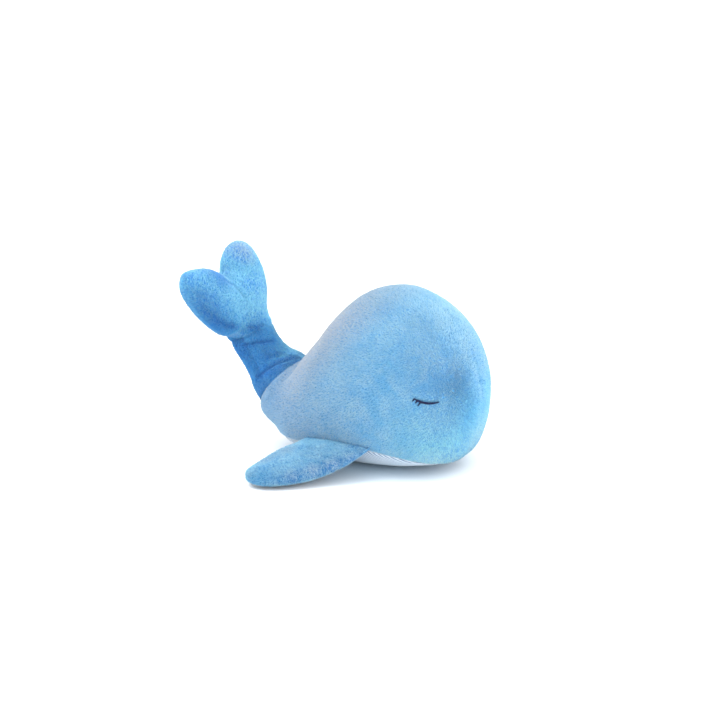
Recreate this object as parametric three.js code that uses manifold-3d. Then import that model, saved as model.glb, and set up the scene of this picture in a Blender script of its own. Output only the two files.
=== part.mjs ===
// A stuffed toy whale that lies on its belly with its tail raised: sewn panels of
// short-pile cloth over loose filling, with a bending tail, fluke and flippers.
// Sizes are in millimetres. +X is the way the whale faces, +Y its left side, +Z up.
// The origin is the point of the floor under the middle of the belly.
import * as THREE from 'three';
import { mergeVertices } from 'three/addons/utils/BufferGeometryUtils.js';
import Module from 'manifold-3d';

const wasm = await Module();
wasm.setup();

const radians = THREE.MathUtils.degToRad;

// Cloth and clearances
const clothThickness = 2.5;
const seamGap = 0.3;
const fillingGap = 1.4;
const bendGap = 0.5;
const floorPress = 0.5;
const sameSpot = 0.0001;

// Body: a domed head that narrows to a round shoulder, where the tail is sewn on
const bodyLength = 226;
const bodyWidth = 160;
const bodyHeight = 176;
const noseHeight = 70;
const sideFullness = 0.2;
const bellyFullness = 0.7;
const shoulderRadius = 40;
const shoulderBack = 83;
const shoulderHeight = 54;
const bellyFront = 98;
const bellyRear = 100;
const bellySpread = radians(54);
const bellyTipPower = 0.55;
const swellPower = 0.8;

// Tail stem: an arc from the middle of the shoulder to the waist, where the fluke bends
const stemLength = 81;
const stemRiseStart = radians(32);
const stemRiseEnd = radians(63);
const stemRootHalf = 30;
const waistRadius = 21.5;
const tailSwingDown = radians(20);
const tailSwingUp = radians(10);
const shoulderOverrun = radians(2);

// Fluke: two plump lobes in one leaning plane
const lobeReach = 89;
const lobeSpread = 60;
const lobeHalfThickness = 18.5;
const flukeLipHeight = 7;
const flukeLean = radians(6);

// Flippers: leaf shapes, sewn along a straight root into the belly seam
const flipperReach = 84;
const flipperRootHalf = 38;
const flipperHalfThickness = 10.5;
const flipperRootHalfThickness = 3.4;
const flipperRootBack = 13;
const flipperRootSide = 68.5;
const flipperRootHeight = 29;
const flipperRootToeOut = radians(11.5);
const flipperSwingUp = radians(35);
const flipperSwingDown = radians(5);
const flipperSwingGap = 0.9;
const flipperFillingShare = 0.78;
const flipperFillingGapShare = 0.01;

// Closed eye: an embroidered arc with three lashes at its rear end, placed behind the nose
const eyeFrontBehindNose = 20.5;
const eyeRearBehindNose = 37.5;
const eyeFrontHeight = 84.5;
const eyeRearHeight = 88.5;
const eyeSag = 2.4;
const eyeThread = 0.9;
const lashThread = 0.7;
const threadFlatShare = 0.7;
const threadEndShare = 0.3;
const lashLength = 4;

// Fineness of the surfaces
const bodyRows = 24;
const bodyColumns = 10;
const bellyColumns = 8;
const stemColumns = 7;
const stemFillingColumns = 10;
const lobeColumns = 14;
const lobeFillingColumns = 10;
const flipperColumns = 7;
const bodyFillingColumns = 16;
const ballSides = 32;
const ballRings = 24;
const threadSides = 6;
const eyeSteps = 8;
const lashSteps = 3;

// Half of the body outline from nose to shoulder. Each row is a station: where the upper
// outline passes (share of half the length, share of the height), where the lower outline
// passes (the same two), and the half width there (share of half the width).
const bodyStationShares = [
  [0.950, 0.600, 0.955, 0.215, 0.43],
  [0.850, 0.755, 0.870, 0.085, 0.71],
  [0.665, 0.888, 0.690, 0.017, 0.90],
  [0.440, 0.970, 0.430, -0.001, 0.985],
  [0.190, 1.002, 0.135, -0.003, 1.00],
  [-0.065, 0.970, -0.186, -0.003, 0.945],
  [-0.275, 0.865, -0.497, 0.002, 0.845],
  [-0.435, 0.730, -0.755, 0.050, 0.71],
  [-0.575, 0.600, -0.925, 0.130, 0.56],
];

// One lobe from tip to base: outer edge (share of spread, share of reach), inner edge
// (the same two) and half thickness (share of the lobe's own).
const lobeTipShares = [0.98, 0.97];
const lobeStationShares = [
  [1.14, 0.80, 0.62, 1.00, 0.66],
  [1.13, 0.60, 0.30, 0.90, 0.97],
  [1.02, 0.40, 0.05, 0.73, 1.08],
  [0.84, 0.23, -0.10, 0.50, 1.13],
  [0.63, 0.12, -0.20, 0.27, 1.20],
  [0.43, 0.07, -0.28, 0.09, 1.26],
  [0.40, -0.03, -0.32, -0.04, 1.28],
];

// The stem between waist and shoulder: distance from the shoulder's middle (share of the
// length) and how far it has widened from the waist to the root (share of the difference).
const stemStationShares = [
  [0.85, 0.03],
  [0.70, 0.18],
  [0.56, 0.50],
  [0.44, 1.00],
  [0.30, 1.30],
];

// One flipper from tip to root: front edge (share of the root's half length, share of the
// reach), rear edge (the same two) and plumpness (0 at the root's thickness, 1 at the full).
const flipperTipShares = [-1.02, 1.00];
const flipperStationShares = [
  [-0.54, 0.95, -1.36, 0.88, 0.45],
  [-0.06, 0.76, -1.43, 0.68, 0.86],
  [0.36, 0.52, -1.42, 0.47, 1.00],
  [0.68, 0.30, -1.31, 0.28, 0.86],
  [0.89, 0.12, -1.13, 0.12, 0.45],
  [1.02, -0.03, -1.00, -0.02, 0.02],
  [1.06, -0.16, -1.00, -0.16, 0.00],
];

// The lashes: where on the eye's arc each starts (share of its length from the rear) and
// which way it points (forward and up shares of its length)
const lashShares = [
  [0.02, -0.40, -0.60],
  [0.15, -0.38, -0.60],
  [0.29, -0.60, -0.95],
];

const clothBlue = { color: 0x78b7e6, roughness: 0.95, metalness: 0 };
const clothDeepBlue = { color: 0x5f9fd8, roughness: 0.95, metalness: 0 };
const clothWhite = { color: 0xe6ebf0, roughness: 0.9, metalness: 0 };
const threadNavy = { color: 0x1d2b4f, roughness: 0.6, metalness: 0 };
const fillingWhite = { color: 0xf4f4f2, roughness: 1, metalness: 0 };

// A power of the absolute value that keeps the sign, for super-elliptic sections
function signedPower(value, exponent) {
  return Math.sign(value) * Math.abs(value) ** exponent;
}

// Several equal steps between two values, both ends included
function steps(from, to, count) {
  return Array.from({ length: count + 1 }, (_, i) => THREE.MathUtils.lerp(from, to, i / count));
}

// Small shares and turns over which slopes are measured
const slopeStep = 0.004;
const spanTurn = 0.02;

// A skin is a surface drawn between two rails that meet at a pole. Its rail runs through
// the pole, from the far end of the first rail to the far end of the second: x and z lie in
// the middle plane and y holds the half thickness, negative on the first rail. place turns
// a point of that frame into the model's frame. roundness(along) gives the exponents of
// the section's half at the second rail and of its half at the first.
class Skin {
  constructor(firstRail, pole, secondRail, place, roundness = () => [1, 1]) {
    this.rails = { firstRail, pole, secondRail };
    this.stations = secondRail.length;
    const rail = [...firstRail.toReversed(), pole, ...secondRail];
    this.rail = new THREE.CatmullRomCurve3(rail, false, 'catmullrom', 0.5);
    this.place = place;
    this.roundness = roundness;
  }

  // The same skin drawn in by a depth on all sides, also where it is too thin to offset
  inset(depth) {
    const { firstRail, pole, secondRail } = this.rails;
    const drawnIn = (rail, other, side) => rail.map((point, i) => {
      const inward = other[i].clone().sub(point).setY(0).setLength(depth);
      return inward.add(point).setY(side * Math.max(Math.abs(point.y) - depth, depth / 4));
    });
    const inside = firstRail[0].clone().add(secondRail[0]).multiplyScalar(0.5).sub(pole).setLength(depth);
    const first = drawnIn(firstRail, secondRail, -1);
    const second = drawnIn(secondRail, firstRail, 1);
    return new Skin(first, inside.add(pole), second, this.place, this.roundness);
  }

  // The same skin, moved along its thickness
  lifted(height) {
    const { firstRail, pole, secondRail } = this.rails;
    const place = (point) => this.place(point.setY(point.y + height));
    return new Skin(firstRail, pole, secondRail, place, this.roundness);
  }

  // The point of the surface at a share of the way from the pole and a turn about the
  // section, which starts at the second rail
  surface(along, turn) {
    const first = this.rail.getPoint(0.5 - 0.5 * along);
    const second = this.rail.getPoint(0.5 + 0.5 * along);
    const [secondPower, firstPower] = this.roundness(along);
    const power = Math.cos(turn) > 0 ? secondPower : firstPower;
    const across = signedPower(Math.cos(turn), power);
    const aside = signedPower(Math.sin(turn), power);
    const halfThickness = (second.y - first.y) / 2;
    const point = new THREE.Vector3().addVectors(first, second).multiplyScalar(0.5);
    point.addScaledVector(second.sub(first), across / 2);
    point.y = -halfThickness * aside;
    return this.place(point);
  }

  outward(along, turn) {
    const near = THREE.MathUtils.clamp(along, slopeStep, 1 - slopeStep);
    const onward = this.surface(near + slopeStep, turn).sub(this.surface(near - slopeStep, turn));
    const round = this.surface(near, turn + slopeStep).sub(this.surface(near, turn - slopeStep));
    const normal = onward.cross(round);
    if (along >= slopeStep) return normal.normalize();
    const across = this.surface(slopeStep, 0).add(this.surface(slopeStep, Math.PI));
    const inside = across.multiplyScalar(0.5);
    return this.surface(0, 0).sub(inside).normalize();
  }

  at(along, turn, depth) {
    return this.surface(along, turn).addScaledVector(this.outward(along, turn), -depth);
  }
}

// A closed geometry from a grid of points: every quad becomes two triangles, points that
// coincide are merged, and triangles that lose an edge are left out.
function closedGeometry(points, quads) {
  const corners = quads.flatMap(([a, b, c, d]) => [a, b, c, a, c, d]);
  const positions = corners.flatMap((corner) => points[corner].toArray());
  const loose = new THREE.BufferGeometry();
  loose.setAttribute('position', new THREE.Float32BufferAttribute(positions, 3));
  const merged = mergeVertices(loose, sameSpot);
  const index = merged.getIndex();
  const kept = [];
  for (let i = 0; i < index.count; i += 3) {
    const [a, b, c] = [index.getX(i), index.getX(i + 1), index.getX(i + 2)];
    if (a !== b && b !== c && c !== a) kept.push(a, b, c);
  }
  merged.setIndex(kept);
  return merged;
}

// A closed piece of cloth between the skin's surface and an inner depth, over part of the
// skin. turnsAt(along) gives the first and last turn of a row. trim may move a point.
function panelGeometry(skin, rows, turnsAt, columns, innerDepth, trim = (point) => point) {
  const points = [];
  for (const depth of [0, innerDepth]) {
    for (const along of rows) {
      const [start, end] = turnsAt(along);
      for (const turn of steps(start, end, columns)) points.push(trim(skin.at(along, turn, depth)));
    }
  }
  const layer = rows.length * (columns + 1);
  const last = rows.length - 1;
  const at = (side, row, column) => side * layer + row * (columns + 1) + column;
  const quads = [];
  for (let row = 0; row < last; row += 1) {
    for (let column = 0; column < columns; column += 1) {
      const [a, b] = [at(0, row, column), at(0, row + 1, column)];
      quads.push([a, b, b + 1, a + 1]);
      quads.push([a + 1 + layer, b + 1 + layer, b + layer, a + layer]);
    }
    const edge = at(0, row, columns);
    const start = at(0, row, 0);
    const width = columns + 1;
    quads.push([start, start + layer, start + width + layer, start + width]);
    quads.push([edge + width, edge + width + layer, edge + layer, edge]);
  }
  for (let column = 0; column < columns; column += 1) {
    const [near, far] = [at(0, 0, column), at(0, last, column)];
    quads.push([near, near + 1, near + 1 + layer, near + layer]);
    quads.push([far + layer, far + 1 + layer, far + 1, far]);
  }
  return closedGeometry(points, quads);
}

// A closed solid a little inside the skin: rings from the pole on, with a fan over each end.
// A sweep of less than a full turn leaves a flat side between its first and last turn.
function solidGeometry(skin, rows, sides, depth, firstTurn = 0, sweep = 2 * Math.PI) {
  const columns = sweep < 2 * Math.PI ? sides + 1 : sides;
  const points = [];
  for (const along of rows) {
    for (let column = 0; column < columns; column += 1) {
      points.push(skin.at(along, firstTurn + (sweep * column) / sides, depth));
    }
  }
  const quads = [];
  const ring = (row, column) => row * columns + (column % columns);
  for (let row = 0; row + 1 < rows.length; row += 1) {
    for (let column = 0; column < columns; column += 1) {
      const next = column + 1;
      quads.push([ring(row, column), ring(row + 1, column), ring(row + 1, next), ring(row, next)]);
    }
  }
  fan(points, quads, 0, columns, true);
  fan(points, quads, (rows.length - 1) * columns, columns, false);
  return closedGeometry(points, quads);
}

// Triangles from a ring of points to its middle
function fan(points, quads, start, columns, turnedBack) {
  const middle = new THREE.Vector3();
  for (let column = 0; column < columns; column += 1) middle.add(points[start + column]);
  const centre = points.push(middle.divideScalar(columns)) - 1;
  for (let column = 0; column < columns; column += 1) {
    const here = start + column;
    const next = start + ((column + 1) % columns);
    quads.push(turnedBack ? [next, centre, centre, here] : [here, centre, centre, next]);
  }
}

// Geometry becomes a solid that can be joined and cut, and a solid becomes geometry again
function solidOf(geometry) {
  return new wasm.Manifold(new wasm.Mesh({
    numProp: 3,
    vertProperties: new Float32Array(geometry.getAttribute('position').array),
    triVerts: new Uint32Array(geometry.getIndex().array),
  }));
}

function geometryOf(solid) {
  const mesh = solid.getMesh();
  const geometry = new THREE.BufferGeometry();
  const positions = new Float32Array(mesh.vertProperties);
  geometry.setAttribute('position', new THREE.BufferAttribute(positions, 3));
  geometry.setIndex(new THREE.BufferAttribute(new Uint32Array(mesh.triVerts), 1));
  return geometry;
}

function solidOfPlain(geometry) {
  geometry.deleteAttribute('normal');
  geometry.deleteAttribute('uv');
  return solidOf(mergeVertices(geometry, sameSpot));
}

function ball(centre, radius) {
  const geometry = new THREE.SphereGeometry(radius, ballSides, ballRings);
  geometry.rotateX(Math.PI / 2);
  return solidOfPlain(geometry.translate(centre.x, centre.y, centre.z));
}

// Everything on one side of a plane, out to a reach that clears the whole toy
const reach = 4 * bodyLength;

function halfSpace(point, normal) {
  const geometry = new THREE.BoxGeometry(reach, reach, reach);
  geometry.translate(0, 0, reach / 2);
  geometry.applyQuaternion(new THREE.Quaternion().setFromUnitVectors(new THREE.Vector3(0, 0, 1), normal));
  return solidOfPlain(geometry.translate(point.x, point.y, point.z));
}

const floorBelow = halfSpace(new THREE.Vector3(), new THREE.Vector3(0, 0, -1));
const insideDepth = clothThickness + fillingGap;

// The largest body of a cut solid, without the crumbs that a curved cut can leave
function mainBody(solid) {
  return solid.decompose().reduce((best, body) => (body.volume() > best.volume() ? body : best));
}

// The same geometry on the other side of the whale
function mirrored(geometry) {
  const copy = geometry.clone().scale(1, -1, 1);
  const index = copy.getIndex();
  for (let i = 0; i < index.count; i += 3) {
    const second = index.getX(i + 1);
    index.setX(i + 1, index.getX(i + 2));
    index.setX(i + 2, second);
  }
  return copy;
}

// Tail stem: its middle line and its direction at a share of the length
function stemAngle(share) {
  return THREE.MathUtils.lerp(stemRiseStart, stemRiseEnd, share);
}

function stemDirection(share) {
  return new THREE.Vector3(-Math.cos(stemAngle(share)), 0, Math.sin(stemAngle(share)));
}

function stemFront(share) {
  return new THREE.Vector3(Math.sin(stemAngle(share)), 0, Math.cos(stemAngle(share)));
}

const shoulderCentre = new THREE.Vector3(-shoulderBack, 0, shoulderHeight);

function stemCentre(share) {
  const radius = stemLength / (stemRiseEnd - stemRiseStart);
  const x = Math.sin(stemRiseStart) - Math.sin(stemAngle(share));
  const z = Math.cos(stemRiseStart) - Math.cos(stemAngle(share));
  return new THREE.Vector3(x, 0, z).multiplyScalar(radius).add(shoulderCentre);
}

const waistCentre = stemCentre(1);

// A point of the middle plane on the shoulder, at an angle from the tail's middle line
// towards the top
const seamRise = stemAngle(shoulderRadius / stemLength);

function shoulderPoint(angle, halfWidth) {
  const rise = seamRise + angle;
  const point = new THREE.Vector3(-Math.cos(rise), 0, Math.sin(rise));
  return point.multiplyScalar(shoulderRadius).add(shoulderCentre).setY(halfWidth);
}

// The shoulder stays round as far as the tail's edge slides on it. Its last stations are the
// edge of that zone, the ring where the panels end under the tail's cloth, and two inside.
const stemRootAngle = Math.asin(stemRootHalf / shoulderRadius);
const shoulderTopEdge = stemRootAngle + tailSwingUp + shoulderOverrun;
const shoulderLowEdge = stemRootAngle + tailSwingDown + shoulderOverrun;
const ringAngle = Math.asin((stemRootHalf - clothThickness) / shoulderRadius);
const ringShare = (2 * ringAngle) / (shoulderTopEdge + shoulderLowEdge);
const shoulderStationShares = [1, ringShare, ringShare / 2, 0];

function makeBodySkin() {
  const upper = [];
  const lower = [];
  for (const [topX, topZ, lowX, lowZ, width] of bodyStationShares) {
    const halfWidth = (width * bodyWidth) / 2;
    upper.push(new THREE.Vector3((topX * bodyLength) / 2, halfWidth, topZ * bodyHeight));
    lower.push(new THREE.Vector3((lowX * bodyLength) / 2, -halfWidth, lowZ * bodyHeight));
  }
  for (const share of shoulderStationShares) {
    const halfWidth = shoulderRadius * Math.sin((share * (shoulderTopEdge + shoulderLowEdge)) / 2);
    upper.push(shoulderPoint(share * shoulderTopEdge, halfWidth));
    lower.push(shoulderPoint(-share * shoulderLowEdge, -halfWidth));
  }
  const nose = new THREE.Vector3(bodyLength / 2, 0, noseHeight);
  return new Skin(lower, nose, upper, (point) => point, bodyRoundness);
}

const bodyStations = bodyStationShares.length + shoulderStationShares.length;
const shoulderStart = (bodyStationShares.length + 1) / bodyStations;
const shoulderRing = shoulderStart + 1 / bodyStations;

// The sections are fuller than an ellipse, most of all under the belly, and round at both ends
function bodyRoundness(along) {
  const swell = Math.sin(Math.PI * Math.min(along / shoulderStart, 1)) ** swellPower;
  return [2 / (2 + sideFullness * swell), 2 / (2 + bellyFullness * swell)];
}

const bodySkin = makeBodySkin();

// The share along the skin at which a value that falls from the pole on reaches a target
function solveFalling(valueAt, target, low, high) {
  const middle = (low + high) / 2;
  if (high - low < 1e-7) return middle;
  const ahead = valueAt(middle) > target;
  return solveFalling(valueAt, target, ahead ? middle : low, ahead ? high : middle);
}

const bottomX = (along) => bodySkin.surface(along, Math.PI).x;
const bellyStart = solveFalling(bottomX, bellyFront, 0, shoulderStart);
const bellyEnd = solveFalling(bottomX, -bellyRear, 0, shoulderStart);

// The turn that spans half a seam gap at one place of a skin
function gapTurn(skin, along, turn) {
  const before = skin.surface(along, turn - spanTurn);
  const span = before.distanceTo(skin.surface(along, turn + spanTurn));
  return (seamGap * spanTurn) / Math.max(span, seamGap * spanTurn);
}

// How far the belly panel opens to each side of the bottom line
function bellyTurn(along) {
  const share = THREE.MathUtils.clamp((along - bellyStart) / (bellyEnd - bellyStart), 0, 1);
  return bellySpread * Math.sin(Math.PI * share) ** bellyTipPower;
}

// The turn that spans half a seam gap at the belly seam
function bellyGapTurn(along) {
  return gapTurn(bodySkin, along, Math.PI - bellyTurn(along));
}

const endRows = 4;
const bellyRows = bodyRows - 2 * endRows;

// The rows of the belly seam lie closer at both ends, where the belly panel opens fast
function bellySteps() {
  const shares = steps(0, 1, bellyRows).map((share) => (1 - Math.cos(Math.PI * share)) / 2);
  return shares.map((share) => THREE.MathUtils.lerp(bellyStart, bellyEnd, share));
}

const bodyPanelRows = [
  ...steps(0, bellyStart, endRows),
  ...bellySteps().slice(1),
  ...steps(bellyEnd, shoulderRing, endRows).slice(1),
];

function bodySideGeometry() {
  const turnsAt = (along) => [0, Math.PI - bellyTurn(along) - bellyGapTurn(along)];
  const trim = (point) => point.setY(Math.min(point.y, -seamGap / 2));
  return panelGeometry(bodySkin, bodyPanelRows, turnsAt, bodyColumns, clothThickness, trim);
}

function bellyGeometry() {
  const rows = bellySteps();
  const tipClearance = (rows[1] - rows[0]) / 4;
  rows[0] += tipClearance;
  rows[bellyRows] -= tipClearance;
  const turnsAt = (along) => {
    const isTip = along === rows[0] || along === rows[bellyRows];
    const half = isTip ? 0 : bellyTurn(along) - bellyGapTurn(along);
    return [Math.PI - half, Math.PI + half];
  };
  return panelGeometry(bodySkin, rows, turnsAt, bellyColumns, clothThickness);
}

// Stem skin: its pole is the top of the round waist, its first rail runs down the front
function makeStemSkin() {
  const front = [];
  const rear = [];
  const add = (centre, side, half) => {
    front.push(centre.clone().addScaledVector(side, half).setY(-half));
    rear.push(centre.clone().addScaledVector(side, -half).setY(half));
  };
  for (const angle of [Math.PI / 6, Math.PI / 3, Math.PI / 2]) {
    const centre = waistCentre.clone().addScaledVector(stemDirection(1), waistRadius * Math.cos(angle));
    add(centre, stemFront(1), waistRadius * Math.sin(angle));
  }
  for (const [distance, widening] of stemStationShares) {
    const half = THREE.MathUtils.lerp(waistRadius, stemRootHalf, widening);
    add(stemCentre(distance), stemFront(distance), half);
  }
  const pole = waistCentre.clone().addScaledVector(stemDirection(1), waistRadius);
  return new Skin(front, pole, rear, (point) => point);
}

const stemSkin = makeStemSkin();
const waistStart = 2 / stemSkin.stations;

function stemPanel(firstTurn) {
  const rows = steps(waistStart, 1, stemSkin.stations - 1);
  const turnsAt = (along) => {
    const gap = gapTurn(stemSkin, along, Math.PI / 2);
    return [firstTurn + gap, firstTurn + Math.PI - gap];
  };
  const shape = solidOf(panelGeometry(stemSkin, rows, turnsAt, stemColumns, clothThickness));
  return geometryOf(mainBody(shape.subtract(ball(shoulderCentre, shoulderRadius + bendGap))));
}

function stemFilling() {
  const rows = steps(0, 1, stemSkin.stations);
  const shape = solidOf(solidGeometry(stemSkin, rows, stemFillingColumns, insideDepth));
  return geometryOf(mainBody(shape.subtract(ball(shoulderCentre, shoulderRadius + bendGap))));
}

// Fluke: each lobe's skin has its pole at the tip and its first rail on the outer edge
const whaleRight = new THREE.Vector3(0, -1, 0);

function placeOnFluke(point) {
  const place = waistCentre.clone().addScaledVector(whaleRight, point.x);
  return place.addScaledVector(stemFront(1), point.y).addScaledVector(stemDirection(1), point.z);
}

function makeLobeSkin() {
  const outer = [];
  const inner = [];
  for (const [outSide, outUp, inSide, inUp, thickness] of lobeStationShares) {
    const half = thickness * lobeHalfThickness;
    outer.push(new THREE.Vector3(outSide * lobeSpread, -half, outUp * lobeReach));
    inner.push(new THREE.Vector3(inSide * lobeSpread, half, inUp * lobeReach));
  }
  const tip = new THREE.Vector3(lobeTipShares[0] * lobeSpread, 0, lobeTipShares[1] * lobeReach);
  return new Skin(outer, tip, inner, placeOnFluke);
}

const lobeSkin = makeLobeSkin();

// Both lobes as one solid
function lobePair(skin, columns) {
  const lobe = solidGeometry(skin, steps(0, 1, skin.stations + 2), columns, 0);
  return solidOf(leaned(mirrored(lobe))).add(solidOf(leaned(lobe)));
}

// The fluke does not stand quite straight: its right lobe hangs lower
function leaned(geometry) {
  geometry.translate(-waistCentre.x, -waistCentre.y, -waistCentre.z);
  geometry.applyQuaternion(new THREE.Quaternion().setFromAxisAngle(stemFront(1), flukeLean));
  return geometry.translate(waistCentre.x, waistCentre.y, waistCentre.z);
}

const flukeLip = waistCentre.clone().addScaledVector(stemDirection(1), flukeLipHeight);
const waistRoom = ball(waistCentre, waistRadius + bendGap);

function onWaist(solid) {
  return solid.intersect(halfSpace(flukeLip, stemDirection(1))).subtract(waistRoom);
}

const flukeHollow = lobePair(lobeSkin.inset(clothThickness), lobeColumns);
const flukeCloth = onWaist(lobePair(lobeSkin, lobeColumns).subtract(flukeHollow));

function flukePanel(side) {
  const normal = stemFront(1).multiplyScalar(side);
  const seam = waistCentre.clone().addScaledVector(normal, seamGap / 2);
  return geometryOf(mainBody(flukeCloth.intersect(halfSpace(seam, normal))));
}

function flukeFilling() {
  return geometryOf(mainBody(onWaist(lobePair(lobeSkin.inset(insideDepth), lobeFillingColumns))));
}

// Right flipper: its skin has its pole at the tip and its first rail on the front edge
const flipperRoot = new THREE.Vector3(-flipperRootBack, -flipperRootSide, flipperRootHeight);
const flipperForward = new THREE.Vector3(Math.cos(flipperRootToeOut), -Math.sin(flipperRootToeOut), 0);
const flipperOut = new THREE.Vector3(-Math.sin(flipperRootToeOut), -Math.cos(flipperRootToeOut), 0);
const flipperDrop = flipperRootHeight + floorPress - flipperHalfThickness;

// The flipper falls in a bow from its root until it lies along the floor
function placeOnFlipper(point) {
  const drop = flipperDrop * (1 - (1 - point.z / flipperReach) ** 2);
  const place = flipperRoot.clone().addScaledVector(flipperForward, point.x);
  place.z += point.y - drop;
  return place.addScaledVector(flipperOut, point.z);
}

function makeFlipperSkin() {
  const front = [];
  const rear = [];
  for (const [frontX, frontOut, rearX, rearOut, plumpness] of flipperStationShares) {
    const half = THREE.MathUtils.lerp(flipperRootHalfThickness, flipperHalfThickness, plumpness);
    front.push(new THREE.Vector3(frontX * flipperRootHalf, -half, frontOut * flipperReach));
    rear.push(new THREE.Vector3(rearX * flipperRootHalf, half, rearOut * flipperReach));
  }
  const [tipX, tipOut] = flipperTipShares;
  const tip = new THREE.Vector3(tipX * flipperRootHalf, 0, tipOut * flipperReach);
  return new Skin(front, tip, rear, placeOnFlipper);
}

const flipperSkin = makeFlipperSkin();

function flipperSolid(skin, end, firstTurn, sweep) {
  const rows = steps(0, end, skin.stations + 1);
  return solidOf(solidGeometry(skin, rows, 2 * flipperColumns, 0, firstTurn, sweep));
}

// The room that the body takes from a flipper over its whole swing, and the floor
function flipperCutter() {
  const body = solidGeometry(bodySkin, steps(0, 1, bodyRows), 2 * bodyColumns, -flipperSwingGap);
  let cutter = solidOf(body);
  for (const swing of [-flipperSwingDown, flipperSwingUp / 2, flipperSwingUp]) {
    const turned = body.clone().translate(-flipperRoot.x, -flipperRoot.y, -flipperRoot.z);
    turned.applyQuaternion(new THREE.Quaternion().setFromAxisAngle(flipperForward, swing));
    cutter = cutter.add(solidOf(turned.translate(flipperRoot.x, flipperRoot.y, flipperRoot.z)));
  }
  return cutter.add(floorBelow);
}

const flipperCut = flipperCutter();
const flipperHollow = flipperSolid(flipperSkin.inset(clothThickness), flipperFillingShare);

// The cloth over or under the filling: side is 1 for the top and -1 for the underside
function flipperPanel(side) {
  const half = flipperSkin.lifted((side * seamGap) / 2);
  const rows = steps(0, 1, half.stations + 1);
  const firstTurn = side > 0 ? Math.PI : 0;
  const cloth = solidOf(solidGeometry(half, rows, flipperColumns, 0, firstTurn, Math.PI));
  return geometryOf(mainBody(cloth.subtract(flipperHollow).subtract(flipperCut)));
}

function flipperFilling() {
  const end = flipperFillingShare - flipperFillingGapShare;
  return geometryOf(mainBody(flipperSolid(flipperSkin.inset(insideDepth), end).subtract(flipperCut)));
}

// The point of the body's right side at a given distance forward and height
function bodySidePoint(x, z, depth) {
  let along = shoulderStart / 2;
  let turn = Math.PI / 2;
  for (let pass = 0; pass < 12; pass += 1) {
    const aroundX = (share) => bodySkin.surface(share, turn).x;
    along = solveFalling(aroundX, x, 0, shoulderStart);
    const aroundZ = (angle) => bodySkin.surface(along, angle).z;
    turn = solveFalling(aroundZ, z, 0, Math.PI);
  }
  return { point: bodySkin.at(along, turn, depth), outward: bodySkin.outward(along, turn) };
}

// A thread laid on the cloth: an oval bead that follows points of the surface and thins
// out towards both ends
function threadBead(spots, halfWidth) {
  const points = [];
  const last = spots.length - 1;
  for (const [i, { point, outward }] of spots.entries()) {
    const before = spots[Math.max(i - 1, 0)].point;
    const onward = spots[Math.min(i + 1, last)].point.clone().sub(before);
    const aside = new THREE.Vector3().crossVectors(outward, onward).normalize();
    const size = halfWidth * Math.max(Math.sqrt(1 - (2 * i / last - 1) ** 2), threadEndShare);
    for (let side = 0; side < threadSides; side += 1) {
      const turn = (2 * Math.PI * side) / threadSides;
      const corner = point.clone().addScaledVector(aside, size * Math.cos(turn));
      points.push(corner.addScaledVector(outward, size * threadFlatShare * Math.sin(turn)));
    }
  }
  const quads = [];
  const ring = (row, side) => row * threadSides + (side % threadSides);
  for (let row = 0; row < last; row += 1) {
    for (let side = 0; side < threadSides; side += 1) {
      quads.push([ring(row, side), ring(row, side + 1), ring(row + 1, side + 1), ring(row + 1, side)]);
    }
  }
  fan(points, quads, 0, threadSides, false);
  fan(points, quads, last * threadSides, threadSides, true);
  return solidOf(closedGeometry(points, quads));
}

function eyeSpot(share) {
  const behindNose = THREE.MathUtils.lerp(eyeRearBehindNose, eyeFrontBehindNose, share);
  const x = bodyLength / 2 - behindNose;
  const height = THREE.MathUtils.lerp(eyeRearHeight, eyeFrontHeight, share);
  const z = height - eyeSag * (1 - (2 * share - 1) ** 2);
  return bodySidePoint(x, z, -(seamGap + eyeThread));
}

function eyeGeometry() {
  let eye = threadBead(steps(0, 1, eyeSteps).map(eyeSpot), eyeThread);
  for (const [start, forward, up] of lashShares) {
    const root = eyeSpot(start).point;
    const lash = steps(0, 1, lashSteps).map((share) => {
      const x = root.x + share * forward * lashLength;
      const z = root.z + share * up * lashLength;
      return bodySidePoint(x, z, -(seamGap + eyeThread));
    });
    eye = eye.add(threadBead(lash, lashThread));
  }
  return geometryOf(mainBody(eye));
}

const whale = new THREE.Group();

function addPiece(name, geometry, finish) {
  geometry.computeVertexNormals();
  const mesh = new THREE.Mesh(geometry, new THREE.MeshStandardMaterial(finish));
  mesh.name = name;
  whale.add(mesh);
}

// A piece of the right side and its mirror image on the left
function addPair(rightName, leftName, geometry, finish) {
  addPiece(leftName, mirrored(geometry), finish);
  addPiece(rightName, geometry, finish);
}

addPair('body_panel_right', 'body_panel_left', bodySideGeometry(), clothBlue);
addPiece('belly_panel', geometryOf(solidOf(bellyGeometry()).subtract(floorBelow)), clothWhite);
const bodyFillingRows = [...bodyPanelRows, ...steps(shoulderRing, 1, 2).slice(1)];
const bodyFilling = solidGeometry(bodySkin, bodyFillingRows, bodyFillingColumns, insideDepth);
addPiece('body_filling', bodyFilling, fillingWhite);
addPair('eye_right', 'eye_left', eyeGeometry(), threadNavy);

addPiece('tail_panel_top', stemPanel(Math.PI / 2), clothDeepBlue);
addPiece('tail_panel_bottom', stemPanel(-Math.PI / 2), clothDeepBlue);
addPiece('tail_filling', stemFilling(), fillingWhite);

addPiece('fluke_panel_front', flukePanel(1), clothBlue);
addPiece('fluke_panel_back', flukePanel(-1), clothBlue);
addPiece('fluke_filling', flukeFilling(), fillingWhite);

addPair('flipper_right_top', 'flipper_left_top', flipperPanel(1), clothBlue);
addPair('flipper_right_bottom', 'flipper_left_bottom', flipperPanel(-1), clothBlue);
addPair('flipper_right_filling', 'flipper_left_filling', flipperFilling(), fillingWhite);

export default whale;
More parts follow.
